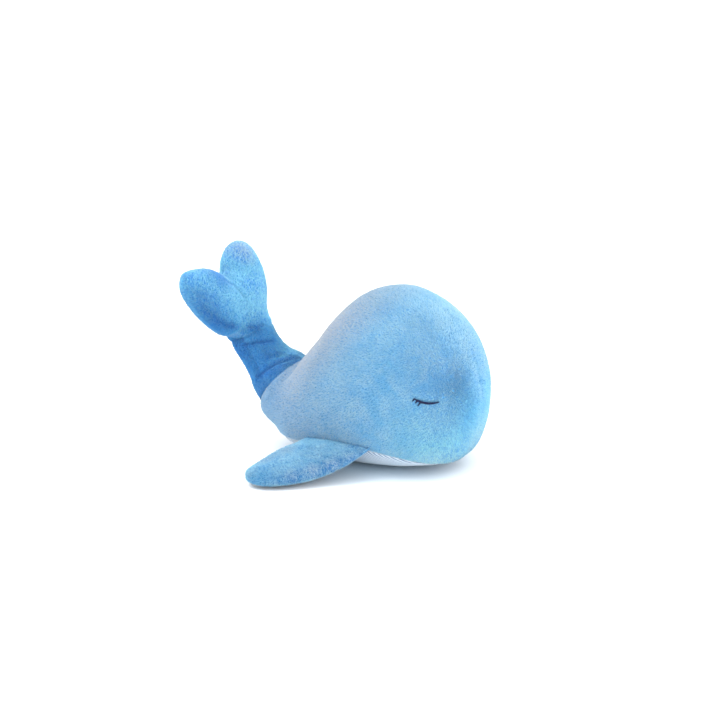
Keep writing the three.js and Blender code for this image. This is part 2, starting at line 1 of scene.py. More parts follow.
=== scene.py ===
"""A stuffed toy whale in short blue plush with a white ribbed belly.

The frame gives the bodies, the joints and the sewn pieces' solids. This script sews the cloth
over them: side panels, belly, tail, fluke and flippers, each a thin closed cloth with its pile,
over wadding, with embroidered eyes. Lengths are in metres, +X is the way the whale faces,
+Y its left side and +Z up.
"""
import math
from contextlib import contextmanager
from functools import partial

import bmesh
import bpy
import numpy as np
from mathutils import Matrix, Vector, noise
from mathutils.bvhtree import BVHTree
from mathutils.kdtree import KDTree


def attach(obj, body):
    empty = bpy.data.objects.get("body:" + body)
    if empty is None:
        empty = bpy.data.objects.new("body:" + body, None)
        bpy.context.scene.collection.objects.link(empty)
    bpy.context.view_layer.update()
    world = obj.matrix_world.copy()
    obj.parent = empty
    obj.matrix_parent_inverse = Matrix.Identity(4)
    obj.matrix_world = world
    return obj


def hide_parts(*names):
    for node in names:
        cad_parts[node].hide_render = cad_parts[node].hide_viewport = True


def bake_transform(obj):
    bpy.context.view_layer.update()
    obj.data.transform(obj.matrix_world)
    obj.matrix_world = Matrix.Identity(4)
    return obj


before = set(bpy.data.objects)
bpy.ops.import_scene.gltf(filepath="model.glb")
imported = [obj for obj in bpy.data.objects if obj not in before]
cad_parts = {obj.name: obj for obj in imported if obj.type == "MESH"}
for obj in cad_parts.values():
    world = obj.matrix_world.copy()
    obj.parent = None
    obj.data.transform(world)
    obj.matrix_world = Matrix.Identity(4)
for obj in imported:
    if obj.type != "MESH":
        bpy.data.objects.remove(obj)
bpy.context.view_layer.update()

MM = 0.001

# The camera stands where the photograph was taken. The floor point under the whale's middle
# falls on one pixel of the photograph, a little right of and below its middle.
PHOTO_SIZE = 720
CAMERA_AZIMUTH = math.radians(25)
CAMERA_ELEVATION = math.radians(15.5)
CAMERA_DISTANCE = 2000 * MM
CAMERA_LENS = 100
CAMERA_SENSOR = 36
AIM_RIGHT = -16 * MM
AIM_UP = 96 * MM

# Body outline, as in the solids
BODY_LENGTH = 226 * MM
BODY_WIDTH = 160 * MM
BODY_HEIGHT = 176 * MM
NOSE_HEIGHT = 70 * MM
SIDE_FULLNESS = 0.2
BELLY_FULLNESS = 0.7
SHOULDER_RADIUS = 40 * MM
SHOULDER = np.array([-83, 0, 54]) * MM
BELLY_FRONT = 83 * MM
BELLY_REAR = 100 * MM
BELLY_SPREAD = math.radians(55.5)
STEM_LENGTH = 81 * MM
STEM_RISE = (math.radians(32), math.radians(63))
STEM_ROOT_HALF = 30 * MM
WAIST_RADIUS = 21.5 * MM
TAIL_SWING = (math.radians(20), math.radians(10))
SHOULDER_OVERRUN = math.radians(2)
LOBE_REACH = 89 * MM
LOBE_SPREAD = 60 * MM
LOBE_HALF_THICKNESS = 18.5 * MM
FLIPPER_REACH = 84 * MM
FLIPPER_ROOT_HALF = 38 * MM
FLIPPER_HALF_THICKNESS = 10.5 * MM
FLIPPER_ROOT_HALF_THICKNESS = 3.4 * MM
FLIPPER_ROOT = np.array([-13, -68.5, 29]) * MM
FLIPPER_TOE_OUT = math.radians(11.5)
FLOOR_PRESS = 0.5 * MM

BODY_STATION_SHARES = [
    (0.950, 0.600, 0.955, 0.215, 0.43),
    (0.850, 0.755, 0.870, 0.090, 0.71),
    (0.665, 0.888, 0.690, 0.043, 0.90),
    (0.440, 0.970, 0.430, 0.013, 0.985),
    (0.190, 1.002, 0.135, -0.003, 1.00),
    (-0.065, 0.960, -0.186, -0.003, 0.940),
    (-0.275, 0.850, -0.497, 0.002, 0.840),
    (-0.435, 0.715, -0.755, 0.050, 0.705),
    (-0.575, 0.600, -0.925, 0.130, 0.56),
]
LOBE_TIP_SHARES = (0.98, 0.97)
# The soft lobes do not stand alike: the right one hangs lower and is bent a little back
LOBE_LEAN = {1: math.radians(8.5), -1: math.radians(7)}
LOBE_BOW = {1: -3 * MM, -1: 1.4 * MM}
LOBE_SPREAD_SHARE = {1: 1.04, -1: 0.935}
LOBE_REACH_SHARE = {1: 1.06, -1: 0.995}
LOBE_FULLNESS_SHARE = {1: 0.955, -1: 0.945}
LOBE_INNER_SHARE = {1: 0.94, -1: 0.99}
LOBE_TIP_FULLNESS_SHARE = {1: 1.05, -1: 1.08}
LOBE_STATION_SHARES = [
    (1.14, 0.80, 0.62, 1.00, 0.66),
    (1.13, 0.60, 0.30, 0.90, 0.97),
    (1.02, 0.40, 0.05, 0.73, 1.08),
    (0.84, 0.23, -0.10, 0.50, 1.13),
    (0.63, 0.12, -0.20, 0.27, 1.20),
    (0.43, 0.07, -0.28, 0.09, 1.26),
    (0.38, -0.14, -0.34, -0.14, 1.28),
]
STEM_STATION_SHARES = [
    (0.85, 0.03),
    (0.70, 0.18),
    (0.56, 0.50),
    (0.44, 1.00),
    (0.30, 1.30),
    (0.18, 1.45),
]
# How far up the stem the body's cloth ends, how much it climbs aside and how it tilts
TAIL_SEAM_SHARE = 0.275
SEAM_CLIMB_SHARE = 0.06
SEAM_TILT_SHARE = 0.015
FLIPPER_TIP_SHARES = (-1.02, 1.00)
FLIPPER_STATION_SHARES = [
    (-0.54, 0.95, -1.36, 0.88, 0.45),
    (-0.06, 0.76, -1.43, 0.68, 0.86),
    (0.36, 0.52, -1.42, 0.47, 1.00),
    (0.68, 0.30, -1.31, 0.28, 0.86),
    (0.89, 0.12, -1.13, 0.12, 0.45),
    (1.02, -0.03, -1.00, -0.02, 0.02),
    (1.06, -0.16, -1.00, -0.16, 0.00),
]

# Eye: an arc of satin stitch behind the nose, with three lashes at its rear end
EYE_FRONT_X = BODY_LENGTH / 2 - 21.5 * MM
EYE_REAR_X = BODY_LENGTH / 2 - 41 * MM
EYE_FRONT_Z = 84.5 * MM
EYE_REAR_Z = 89 * MM
EYE_SAG = 2.4 * MM
LASH_LENGTH = 4 * MM
LASH_SHARES = [(0.02, -0.40, -0.60), (0.15, -0.38, -0.60), (0.29, -0.60, -0.95)]

# Cloth and pile
CLOTH_THICKNESS = 1.3 * MM
PILE_ROOM = 1.9 * MM
FULL_TUFTS_PER_SQUARE_METRE = 2.2e6
MOST_TUFTS_A_PIECE = 48000
PILE_LENGTH = 2.6 * MM
TUFT_HALF_WIDTH = 0.46 * MM
FULL_PILE_FROM_SEAM = 5 * MM
NAP_SWAY_SHARE = 0.35
NAP_SWAY_SIZE = 38 * MM
FLOOR_GAP = 0.3 * MM
LUMP_HEIGHT = 0.7 * MM
LUMP_SIZE = 26 * MM
RUFFLE_HEIGHT = 0.35 * MM
RUFFLE_SIZE = 5 * MM

# The short simulation that swells the stuffed cloth
SWELL_FRAMES = 20
SWELL_PRESSURE = 30
SWELL_STIFFNESS = 3
SWELL_MOST = 5 * MM
SWELL_HOLD = 4 * MM
FLIPPER_SWELL_HOLD = 3 * MM
BODY_SWELL_VOXEL = 6 * MM
LIMB_SWELL_VOXEL = 4 * MM

# Meshes
MERGE_DISTANCE = MM / 100
MAP_MARGIN = 0.02
FLUKE_MAP_CORNER = (-100 * MM, -20 * MM)
FLUKE_MAP_SIZE = 200 * MM

# Folds that the photograph shows, as lines of its pixels; each is pressed in and given painted shade
WAIST_FOLD = [(234, 342), (241, 338.5), (248, 335), (256, 331.5)]
STEM_FOLD = [(244, 343.5), (252, 342.5), (262, 341), (272, 340.5)]
SHOULDER_FOLD = [(258, 376), (267, 370), (277, 364.5), (287, 361), (297, 358.5)]
NOTCH_FOLD = [(223, 281), (233, 286.5), (239, 292), (243, 298)]
FLIPPER_DIMPLE = [(308, 449), (314, 452)]
PLACES_A_PIXEL = 6


# Geometry helpers


def smooth_line(points, shares):
    """Places at shares of the way along a smooth line through the points."""
    points = np.asarray(points, float)
    last = len(points) - 1
    place = np.clip(shares, 0, 1) * last
    index = np.minimum(place.astype(int), last - 1)
    w = (place - index)[..., None]
    padded = np.vstack([2 * points[0] - points[1], points, 2 * points[-1] - points[-2]])
    before, start, end, after = (padded[index + k] for k in range(4))
    start_slope = (end - before) / 2
    end_slope = (after - start) / 2
    cubic = 2 * start - 2 * end + start_slope + end_slope
    square = -3 * start + 3 * end - 2 * start_slope - end_slope
    return ((cubic * w + square) * w + start_slope) * w + start


def signed_power(value, exponent):
    return np.sign(value) * np.abs(value) ** exponent


def smooth_share(value):
    """A value held between 0 and 1, eased at both ends."""
    value = np.clip(value, 0, 1)
    return value * value * (3 - 2 * value)


def mix(a, b, share):
    return a + (b - a) * share


def eased(count, power):
    """Shares from 0 to 1, closer together near both ends by a power from 0 to 1."""
    share = np.linspace(0, 1, count)
    return mix(share, (1 - np.cos(math.pi * share)) / 2, power)


def unit(vectors, least=1e-12):
    """The vectors brought to a length of 1, those shorter than the least length only nearly."""
    return vectors / np.maximum(np.linalg.norm(vectors, axis=-1, keepdims=True), least)


class Skin:
    """A surface between two rails that meet at a pole. A rail's y is its half thickness."""

    def __init__(self, first, pole, second, place=lambda p: p, roundness=None):
        self.rail = np.array([*first[::-1], pole, *second], float)
        self.stations = len(second)
        self.place = place
        self.roundness = roundness or (lambda along: (1.0, 1.0))

    def surface(self, along, turn):
        along, turn = np.broadcast_arrays(np.asarray(along, float), np.asarray(turn, float))
        first = smooth_line(self.rail, 0.5 - along / 2)
        second = smooth_line(self.rail, 0.5 + along / 2)
        second_power, first_power = self.roundness(along)
        power = np.where(np.cos(turn) > 0, second_power, first_power)
        across = signed_power(np.cos(turn), power)
        aside = signed_power(np.sin(turn), power)
        point = (first + second) / 2 + (second - first) / 2 * across[..., None]
        point[..., 1] = -(second[..., 1] - first[..., 1]) / 2 * aside
        return self.place(point)


def rings(skin, start, end, count, sides=64):
    """Rings of points round a skin, from one share of its length to another."""
    turn = np.linspace(0, 2 * math.pi, sides, endpoint=False)
    return skin.surface(np.linspace(start, end, count)[:, None], turn)


# The tail stem's middle line, as in the solids


def stem_angle(share):
    return mix(*STEM_RISE, share)


def stem_direction(share):
    return np.array([-math.cos(stem_angle(share)), 0, math.sin(stem_angle(share))])


def stem_front(share):
    return np.array([math.sin(stem_angle(share)), 0, math.cos(stem_angle(share))])


def stem_centre(share):
    radius = STEM_LENGTH / (STEM_RISE[1] - STEM_RISE[0])
    x = math.sin(STEM_RISE[0]) - math.sin(stem_angle(share))
    z = math.cos(STEM_RISE[0]) - math.cos(stem_angle(share))
    return np.array([x, 0, z]) * radius + SHOULDER


WAIST = stem_centre(1)
ROOT_ANGLE = math.asin(STEM_ROOT_HALF / SHOULDER_RADIUS)
SHOULDER_TOP_EDGE = ROOT_ANGLE + TAIL_SWING[1] + SHOULDER_OVERRUN
SHOULDER_LOW_EDGE = ROOT_ANGLE + TAIL_SWING[0] + SHOULDER_OVERRUN
SHOULDER_RING_SHARE = 0.66
SHOULDER_STATION_SHARES = (1, SHOULDER_RING_SHARE, SHOULDER_RING_SHARE / 2, 0)


def make_stem_skin():
    """The tail stem's skin, from its round end inside the fluke down to the shoulder."""
    front, rear = [], []

    def add(centre, side, half):
        near, far = centre + side * half, centre - side * half
        front.append((near[0], -half, near[2]))
        rear.append((far[0], half, far[2]))

    for angle in (math.pi / 6, math.pi / 3, math.pi / 2):
        centre = WAIST + stem_direction(1) * WAIST_RADIUS * math.cos(angle)
        add(centre, stem_front(1), WAIST_RADIUS * math.sin(angle))
    for distance, widening in STEM_STATION_SHARES:
        half = mix(WAIST_RADIUS, STEM_ROOT_HALF, widening)
        add(stem_centre(distance), stem_front(distance), half)
    return Skin(front, WAIST + stem_direction(1) * WAIST_RADIUS, rear)


stem_skin = make_stem_skin()


def stem_along(share):
    """Where on the stem's skin a share of the way from the shoulder to the waist lies."""
    shares = [station[0] for station in STEM_STATION_SHARES]
    stations = 4 + np.arange(len(shares))
    return np.interp(share, shares[::-1], stations[::-1]) / stem_skin.stations


def tail_seam_share(turn):
    """How far up the stem the body's cloth ends. It climbs on both sides of the tail."""
    aside = np.abs(np.sin(turn))
    return TAIL_SEAM_SHARE + SEAM_CLIMB_SHARE * aside + SEAM_TILT_SHARE * np.cos(turn)


def make_body_skin():
    """The body's skin, and the shares of its length where the shoulder starts and its ring lies."""
    upper, lower = [], []
    for top_x, top_z, low_x, low_z, width in BODY_STATION_SHARES:
        half = width * BODY_WIDTH / 2
        upper.append((top_x * BODY_LENGTH / 2, half, top_z * BODY_HEIGHT))
        lower.append((low_x * BODY_LENGTH / 2, -half, low_z * BODY_HEIGHT))
    rise = stem_angle(SHOULDER_RADIUS / STEM_LENGTH)
    spread = (SHOULDER_TOP_EDGE + SHOULDER_LOW_EDGE) / 2
    for share in SHOULDER_STATION_SHARES:
        half = SHOULDER_RADIUS * math.sin(share * spread)
        for rail, angle, side in ((upper, SHOULDER_TOP_EDGE, 1), (lower, -SHOULDER_LOW_EDGE, -1)):
            turned = rise + share * angle
            point = SHOULDER + SHOULDER_RADIUS * np.array([-math.cos(turned), 0, math.sin(turned)])
            rail.append((point[0], side * half, point[2]))
    stations = len(upper)
    start = (len(BODY_STATION_SHARES) + 1) / stations

    def roundness(along):
        swell = np.sin(math.pi * np.minimum(along / start, 1)) ** 0.8
        return 2 / (2 + SIDE_FULLNESS * swell), 2 / (2 + BELLY_FULLNESS * swell)

    nose = (BODY_LENGTH / 2, 0, NOSE_HEIGHT)
    return Skin(lower, nose, upper, roundness=roundness), start, start + 1 / stations


body_skin, SHOULDER_START, SHOULDER_RING = make_body_skin()


def falling_share(value_at, target, low, high):
    """The share at which a falling value reaches the target."""
    for _ in range(40):
        middle = (low + high) / 2
        low, high = (middle, high) if value_at(middle) > target else (low, middle)
    return (low + high) / 2


def bottom_x(along):
    """How far forward the middle of the underside lies there."""
    return body_skin.surface(along, math.pi)[0]


BELLY_START = falling_share(bottom_x, BELLY_FRONT, 0, SHOULDER_START)
BELLY_END = falling_share(bottom_x, -BELLY_REAR, 0, SHOULDER_START)


def belly_turn(along):
    """How far round from the middle of the underside the belly's seam lies."""
    share = np.clip((along - BELLY_START) / (BELLY_END - BELLY_START), 0, 1)
    return BELLY_SPREAD * np.sin(math.pi * share) ** 0.42


# Camera


def linked(name, data):
    """A new object of the scene with its mesh, light or camera."""
    piece = bpy.data.objects.new(name, data)
    bpy.context.collection.objects.link(piece)
    return piece


def camera_axes():
    """The ways from the toy to the camera, to the camera's right and up in its view."""
    a, e = CAMERA_AZIMUTH, CAMERA_ELEVATION
    back = Vector((math.sin(a) * math.cos(e), -math.cos(a) * math.cos(e), math.sin(e)))
    right = Vector((math.cos(a), math.sin(a), 0))
    return back, right, back.cross(right)


TO_CAMERA, VIEW_RIGHT, VIEW_UP = camera_axes()
CAMERA_PLACE = VIEW_RIGHT * AIM_RIGHT + VIEW_UP * AIM_UP + TO_CAMERA * CAMERA_DISTANCE


def place_camera():
    data = bpy.data.cameras.new("photo_camera")
    data.lens = CAMERA_LENS
    data.sensor_width = CAMERA_SENSOR
    camera = linked("photo_camera", data)
    camera.rotation_mode = "QUATERNION"
    camera.rotation_quaternion = (-TO_CAMERA).to_track_quat("-Z", "Y")
    camera.location = CAMERA_PLACE
    bpy.context.scene.camera = camera


place_camera()


def photo_ray(pixel):
    """Where the camera stands, and which way a pixel of the photograph lies from there."""
    half = CAMERA_SENSOR / 2 / CAMERA_LENS
    x = (2 * pixel[0] / PHOTO_SIZE - 1) * half
    y = (1 - 2 * pixel[1] / PHOTO_SIZE) * half
    return CAMERA_PLACE, (VIEW_RIGHT * x + VIEW_UP * y - TO_CAMERA).normalized()


# Meshes


def read(items, key, width=1, kind=np.float32):
    """One number or one vector of every item, as an array."""
    found = np.empty(len(items) * width, kind)
    items.foreach_get(key, found)
    return found.reshape(-1, width) if width > 1 else found


def write(items, key, values):
    items.foreach_set(key, np.ascontiguousarray(values, np.float32).ravel())


def places(mesh):
    return read(mesh.vertices, "co", 3).astype(float)


def normals(mesh):
    return read(mesh.vertex_normals, "vector", 3).astype(float)


def corners_of(mesh):
    return read(mesh.loops, "vertex_index", kind=np.int32)


def move_to(mesh, co):
    write(mesh.vertices, "co", co)
    mesh.update()


def lift(mesh, height):
    """Moves each vertex along its normal by its own height."""
    move_to(mesh, places(mesh) + normals(mesh) * np.asarray(height)[:, None])


def press_on_floor(mesh, gap=FLOOR_GAP):
    co = places(mesh)
    co[:, 2] = np.maximum(co[:, 2], gap)
    move_to(mesh, co)


def set_attribute(mesh, name, values, kind="FLOAT"):
    attribute = mesh.attributes.get(name) or mesh.attributes.new(name, kind, "POINT")
    write(attribute.data, "value" if kind == "FLOAT" else "vector", values)


def set_map(mesh, shares):
    """Lays out the mesh's map: shares from 0 to 1 of its width and height, for each vertex."""
    layer = mesh.uv_layers.get("OFBake") or mesh.uv_layers.new(name="OFBake")
    uv = MAP_MARGIN + shares * (1 - 2 * MAP_MARGIN)
    write(layer.data, "uv", uv[corners_of(mesh)])


@contextmanager
def edited(mesh):
    """The mesh opened for work on its faces, and written back afterwards."""
    edit = bmesh.new()
    edit.from_mesh(mesh)
    yield edit
    edit.to_mesh(mesh)
    edit.free()


def worked_out(piece):
    """A plain mesh of the piece with its modifiers applied."""
    evaluated = piece.evaluated_get(bpy.context.evaluated_depsgraph_get())
    return bpy.data.meshes.new_from_object(evaluated)


def sheet_from_grid(name, points, inside, flow=None):
    """An open sheet through a grid of points, facing away from a point inside the toy.

    The flow is a vector for each point, for the pile to follow.
    """
    rows, columns, _ = points.shape
    index = np.arange(rows * columns).reshape(rows, columns)
    faces = np.stack([index[:-1, :-1], index[1:, :-1], index[1:, 1:], index[:-1, 1:]], -1)
    mesh = bpy.data.meshes.new(name)
    mesh.from_pydata(points.reshape(-1, 3).tolist(), [], faces.reshape(-1, 4).tolist())
    down, across = (np.linalg.norm(np.diff(points, axis=axis), axis=2) for axis in (0, 1))
    sizes = down.sum(0).max(), across.sum(1).max()
    u = np.linspace(0, sizes[0] / max(sizes), rows)[:, None]
    v = np.linspace(0, sizes[1] / max(sizes), columns)[None, :]
    set_map(mesh, np.stack(np.broadcast_arrays(u, v), -1).reshape(-1, 2))
    if flow is not None:
        set_attribute(mesh, "flow", flow, "FLOAT_VECTOR")
    with edited(mesh) as edit:
        bmesh.ops.remove_doubles(edit, verts=edit.verts, dist=MERGE_DISTANCE)
        middle = Vector(inside)
        outward = sum((f.calc_center_median() - middle).dot(f.normal) for f in edit.faces)
        if outward < 0:
            bmesh.ops.reverse_faces(edit, faces=edit.faces)
    mesh.shade_smooth()
    return mesh


def closed_tube(points):
    """A closed mesh from rings of points. The first ring is drawn to one point."""
    rows, columns, _ = points.shape
    mesh = bpy.data.meshes.new("tube")
    index = np.arange(rows * columns).reshape(rows, columns)
    turned = np.roll(index, -1, axis=1)
    faces = np.stack([index[:-1], turned[:-1], turned[1:], index[1:]], -1)
    faces = faces.reshape(-1, 4).tolist() + [index[-1].tolist()]
    mesh.from_pydata(points.reshape(-1, 3).tolist(), [], faces)
    with edited(mesh) as edit:
        bmesh.ops.remove_doubles(edit, verts=edit.verts, dist=MERGE_DISTANCE)
        bmesh.ops.recalc_face_normals(edit, faces=edit.faces)
    return mesh


def joined(name, meshes):
    edit = bmesh.new()
    for mesh in meshes:
        edit.from_mesh(mesh)
    made = bpy.data.meshes.new(name)
    edit.to_mesh(made)
    edit.free()
    return made


def remeshed(mesh, voxel, passes):
    """One skin over overlapping closed meshes, smoothed a little."""
    piece = linked("remesh", mesh)
    change = piece.modifiers.new("skin", "REMESH")
    change.mode = "VOXEL"
    change.voxel_size = voxel
    softer = piece.modifiers.new("soft", "SMOOTH")
    softer.factor = 0.5
    softer.iterations = passes
    made = worked_out(piece)
    bpy.data.objects.remove(piece)
    return made


def mirrored(sheet, name):
    mesh = sheet.copy()
    mesh.name = name
    mesh.transform(Matrix.Scale(-1, 4, (0, 1, 0)))
    mesh.flip_normals()
    return mesh


def boundary_points(mesh, wanted=lambda co: np.ones(len(co), bool)):
    edit = bmesh.new()
    edit.from_mesh(mesh)
    found = np.array([v.co for v in edit.verts if v.is_boundary]).reshape(-1, 3)
    edit.free()
    return found[wanted(found)]


def tree_of_points(points):
    tree = KDTree(len(points))
    for index, point in enumerate(points):
        tree.insert(point, index)
    tree.balance()
    return tree


def distance_to(points, mesh):
    """How far each vertex of the mesh lies from the nearest of the points."""
    if not len(points):
        return np.full(len(mesh.vertices), 1.0)
    tree = tree_of_points(points)
    return np.array([tree.find(v.co)[2] for v in mesh.vertices])


def tree_of(meshes):
    """A tree of all faces of the meshes, for rays and nearest places."""
    co, faces = [], []
    for mesh in meshes:
        start = len(co)
        co.extend(v.co.copy() for v in mesh.vertices)
        faces.extend([start + i for i in p.vertices] for p in mesh.polygons)
    return BVHTree.FromPolygons(co, faces)


def pixels_on(tree, pixels):
    """The places where a line of photograph pixels falls on the toy."""
    line = smooth_line(pixels, np.linspace(0, 1, PLACES_A_PIXEL * len(pixels)))
    hits = [tree.ray_cast(*photo_ray(pixel))[0] for pixel in line]
    return np.array([hit for hit in hits if hit is not None]).reshape(-1, 3)


def noise_at(co, size, seed):
    """Smooth noise from -1 to 1, with bumps of about the given size."""
    offset = Vector((seed * 7.3, seed * 3.1, seed * 5.7))
    return np.array([noise.noise(Vector(p) / size + offset) for p in co])


def bell(away, width):
    """A share that falls from 1 to 0 with the distance from a line."""
    return np.exp(-((away / width) ** 2))


def soften(mesh, seams, folds=(), *, seam_depth, seam_width=3.2 * MM, inset=0.0):
    """Gives a sheet its stuffed look: shallow lumps, seams drawn in and folds pressed in.

    Each fold is its points, its depth, its width and how dark the painted shade in it is.
    Gives each vertex's distance from the seams.
    """
    co = places(mesh)
    height = LUMP_HEIGHT * noise_at(co, LUMP_SIZE, 1)
    from_seam = distance_to(seams, mesh)
    near = np.clip(1 - from_seam / (3 * seam_width), 0, 1)
    height *= 1 - near
    height += RUFFLE_HEIGHT * noise_at(co, RUFFLE_SIZE, 2) * near * (1 - near) * 4 - inset
    height -= seam_depth * bell(from_seam, seam_width)
    fold = np.zeros(len(co))
    for points, depth, width, dark in folds:
        away = distance_to(points, mesh)
        fold = np.maximum(fold, dark * bell(away, 1.15 * width))
        height -= depth * bell(away, width)
        height += 0.35 * depth * bell(away - 2.3 * width, 1.2 * width)
    lift(mesh, height)
    # The fold attribute carries painted shade into the creases
    set_attribute(mesh, "fold", fold)
    return from_seam


def swelling(name, closed, seams, voxel, hold=SWELL_HOLD):
    """How far the filling pushes a closed cloth out between its seams, by a short simulation.

    Gives a function from a mesh that lies on the cloth to the height for each of its vertices.
    """
    piece = linked(name + "_try", remeshed(closed, voxel, 2))
    rest, out = places(piece.data), normals(piece.data)
    pinned = piece.vertex_groups.new(name="seams")
    pinned.add(np.flatnonzero(distance_to(seams, piece.data) < hold).tolist(), 1.0, "REPLACE")
    stuffing = piece.modifiers.new("stuffing", "CLOTH")
    stuffing.point_cache.frame_end = SWELL_FRAMES
    settings = stuffing.settings
    settings.use_pressure = True
    settings.uniform_pressure_force = SWELL_PRESSURE
    settings.tension_stiffness = SWELL_STIFFNESS
    settings.compression_stiffness = SWELL_STIFFNESS
    settings.shear_stiffness = SWELL_STIFFNESS
    settings.vertex_group_mass = "seams"
    settings.effector_weights.gravity = 0
    for frame_number in range(1, SWELL_FRAMES + 1):
        bpy.context.scene.frame_set(frame_number)
    height = ((places(worked_out(piece)) - rest) * out).sum(axis=1)
    height = np.clip(height, -SWELL_MOST, SWELL_MOST)
    bpy.data.objects.remove(piece)
    bpy.context.scene.frame_set(1)
    near = tree_of_points(rest)

    def height_on(mesh):
        found = np.zeros(len(mesh.vertices))
        for index, point in enumerate(places(mesh)):
            close = near.find_n(point, 8)
            weight = bell(np.array([away for _, _, away in close]), voxel)
            found[index] = weight @ height[[at for _, at, _ in close]] / max(weight.sum(), 1e-9)
        return found

    return height_on


def cloth_from(name, sheet, thickness=CLOTH_THICKNESS):
    """A thin closed cloth: the sheet, the same sheet drawn inwards, and an edge between.

    The thickness is one length, or one for each vertex.
    """
    mesh = sheet.copy()
    mesh.name = name
    with edited(mesh) as edit:
        edit.normal_update()
        depths = np.broadcast_to(thickness, len(edit.verts))
        inward = {v: v.co - v.normal * depth for v, depth in zip(edit.verts, depths)}
        outer_faces = set(edit.faces)
        rim = [e for e in edit.edges if e.is_boundary]
        everything = edit.verts[:] + edit.edges[:] + edit.faces[:]
        pair = bmesh.ops.duplicate(edit, geom=everything)["vert_map"]
        for old, place in inward.items():
            pair[old].co = place
        inner_faces = [f for f in edit.faces if f not in outer_faces]
        bmesh.ops.reverse_faces(edit, faces=inner_faces)
        layer = edit.loops.layers.uv.active
        for edge in rim:
            loop = next(x for x in edge.link_faces[0].loops if x.edge == edge)
            a, b = loop.vert, loop.link_loop_next.vert
            spot_a, spot_b = loop[layer].uv.copy(), loop.link_loop_next[layer].uv.copy()
            side = edit.faces.new((b, a, pair[a], pair[b]))
            for corner, uv in zip(side.loops, (spot_b, spot_a, spot_a, spot_b)):
                corner[layer].uv = uv
    press_on_floor(mesh)
    mesh.shade_smooth()
    return linked(name, mesh)


def ride(body):
    return lambda piece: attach(piece, body)


def blend(first, second, start, end):
    return lambda piece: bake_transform(piece)


def fasten(piece, hold, stands_for):
    """Holds a piece to its body, and hides the solid it takes the place of."""
    hold(piece)
    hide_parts(stands_for)


# Materials


STUDIO_GAIN = 1.35
CLOTH_SHARE = 0.8


def feed(tree, made, inputs):
    """Sets a node's inputs by name or number: a socket is linked, anything else is a value."""
    for key, value in inputs.items():
        if isinstance(value, bpy.types.NodeSocket):
            tree.links.new(value, made.inputs[key])
        else:
            made.inputs[key].default_value = value


def node(tree, kind, inputs=None, **settings):
    """A new node with its settings and its inputs."""
    made = tree.nodes.new(kind)
    for key, value in settings.items():
        setattr(made, key, value)
    feed(tree, made, inputs or {})
    return made


def new_material(name):
    material = bpy.data.materials.new(name)
    material.use_nodes = True
    tree = material.node_tree
    tree.nodes.clear()
    shader = node(tree, "ShaderNodeBsdfPrincipled")
    node(tree, "ShaderNodeOutputMaterial", {0: shader.outputs[0]})
    return material, tree, shader


def blue(red, green, blue_part):
    """A colour as it shows on a screen in the studio's strong light, turned into a reflectance."""
    light = [((c / 255 + 0.055) / 1.055) ** 2.4 * CLOTH_SHARE for c in (red, green, blue_part)]
    return (*light, 1)


def mixed(tree, share, first, second, blend_type="MIX"):
    """A mix of two colours. Each is a socket or a colour, and share a socket or a number."""
    made = node(tree, "ShaderNodeMix", data_type="RGBA", blend_type=blend_type)
    feed(tree, made, {0: share, 6: first, 7: second})
    return made.outputs[2]


def product(tree, first, second):
    return node(tree, "ShaderNodeMath", {0: first, 1: second}, operation="MULTIPLY").outputs[0]


def ranged(tree, value, low, high, new_low, new_high):
    ends = {"From Min": low, "From Max": high, "To Min": new_low, "To Max": new_high}
    return node(tree, "ShaderNodeMapRange", {"Value": value, **ends}).outputs[0]


def object_places(tree):
    return node(tree, "ShaderNodeTexCoord").outputs["Object"]


def noise_in(tree, place, **inputs):
    return node(tree, "ShaderNodeTexNoise", {"Vector": place, **inputs}).outputs[0]


def attribute(tree, name):
    return node(tree, "ShaderNodeAttribute", attribute_name=name).outputs["Fac"]


def measured(tree, operation, place, where):
    """How far a place lies from another one, or how far along a way."""
    made = node(tree, "ShaderNodeVectorMath", {0: place, 1: tuple(where)}, operation=operation)
    return made.outputs["Value"]


def bump(tree, height, strength, distance):
    inputs = {"Height": height, "Strength": strength, "Distance": distance}
    return node(tree, "ShaderNodeBump", inputs).outputs[0]


def brushed_group():
    """Patches where a hand has brushed the pile up or down, and specks of painted shade where it
    parts.
    """
    tree = bpy.data.node_groups.new("Brushed pile", "ShaderNodeTree")
    for name, value in (("Patch scale", 45.0), ("Streak scale", 420.0), ("Parting scale", 24.0)):
        socket = tree.interface.new_socket(name, in_out="INPUT", socket_type="NodeSocketFloat")
        socket.default_value = value
    for name in ("Patch", "Streak", "Parting"):
        tree.interface.new_socket(name, in_out="OUTPUT", socket_type="NodeSocketFloat")
    scales = node(tree, "NodeGroupInput").outputs
    place = object_places(tree)
    stretched = node(tree, "ShaderNodeMapping", {"Vector": place, "Scale": (1, 1, 0.45)})
    patch = noise_in(tree, place, Scale=scales["Patch scale"],
                     Detail=3.0, Roughness=0.55, Distortion=0.6)
    streak = noise_in(tree, stretched.outputs[0], Scale=scales["Streak scale"],
                      Detail=2.0, Roughness=0.6, Distortion=0.4)
    parting = noise_in(tree, place, Scale=scales["Parting scale"],
                       Detail=2.0, Roughness=0.5, Distortion=0.8)
    gap = ranged(tree, streak, 0.42, 0.62, 0, 1)
    node(tree, "NodeGroupOutput", {
        "Patch": ranged(tree, patch, 0.36, 0.64, 0, 1),
        "Streak": ranged(tree, streak, 0.3, 0.7, 0, 1),
        "Parting": product(tree, gap, ranged(tree, parting, 0.4, 0.62, 0.3, 1)),
    })
    return tree


BRUSHED = brushed_group()
# Pale grey on the pile's tips is a painted sheen, seen most where the pile is met edge-on
TIP_SHEEN_GREY = blue(226, 238, 246)
# Painted shade in the creases of folds
CREASE_SHADE_BLUE = blue(30, 104, 196)


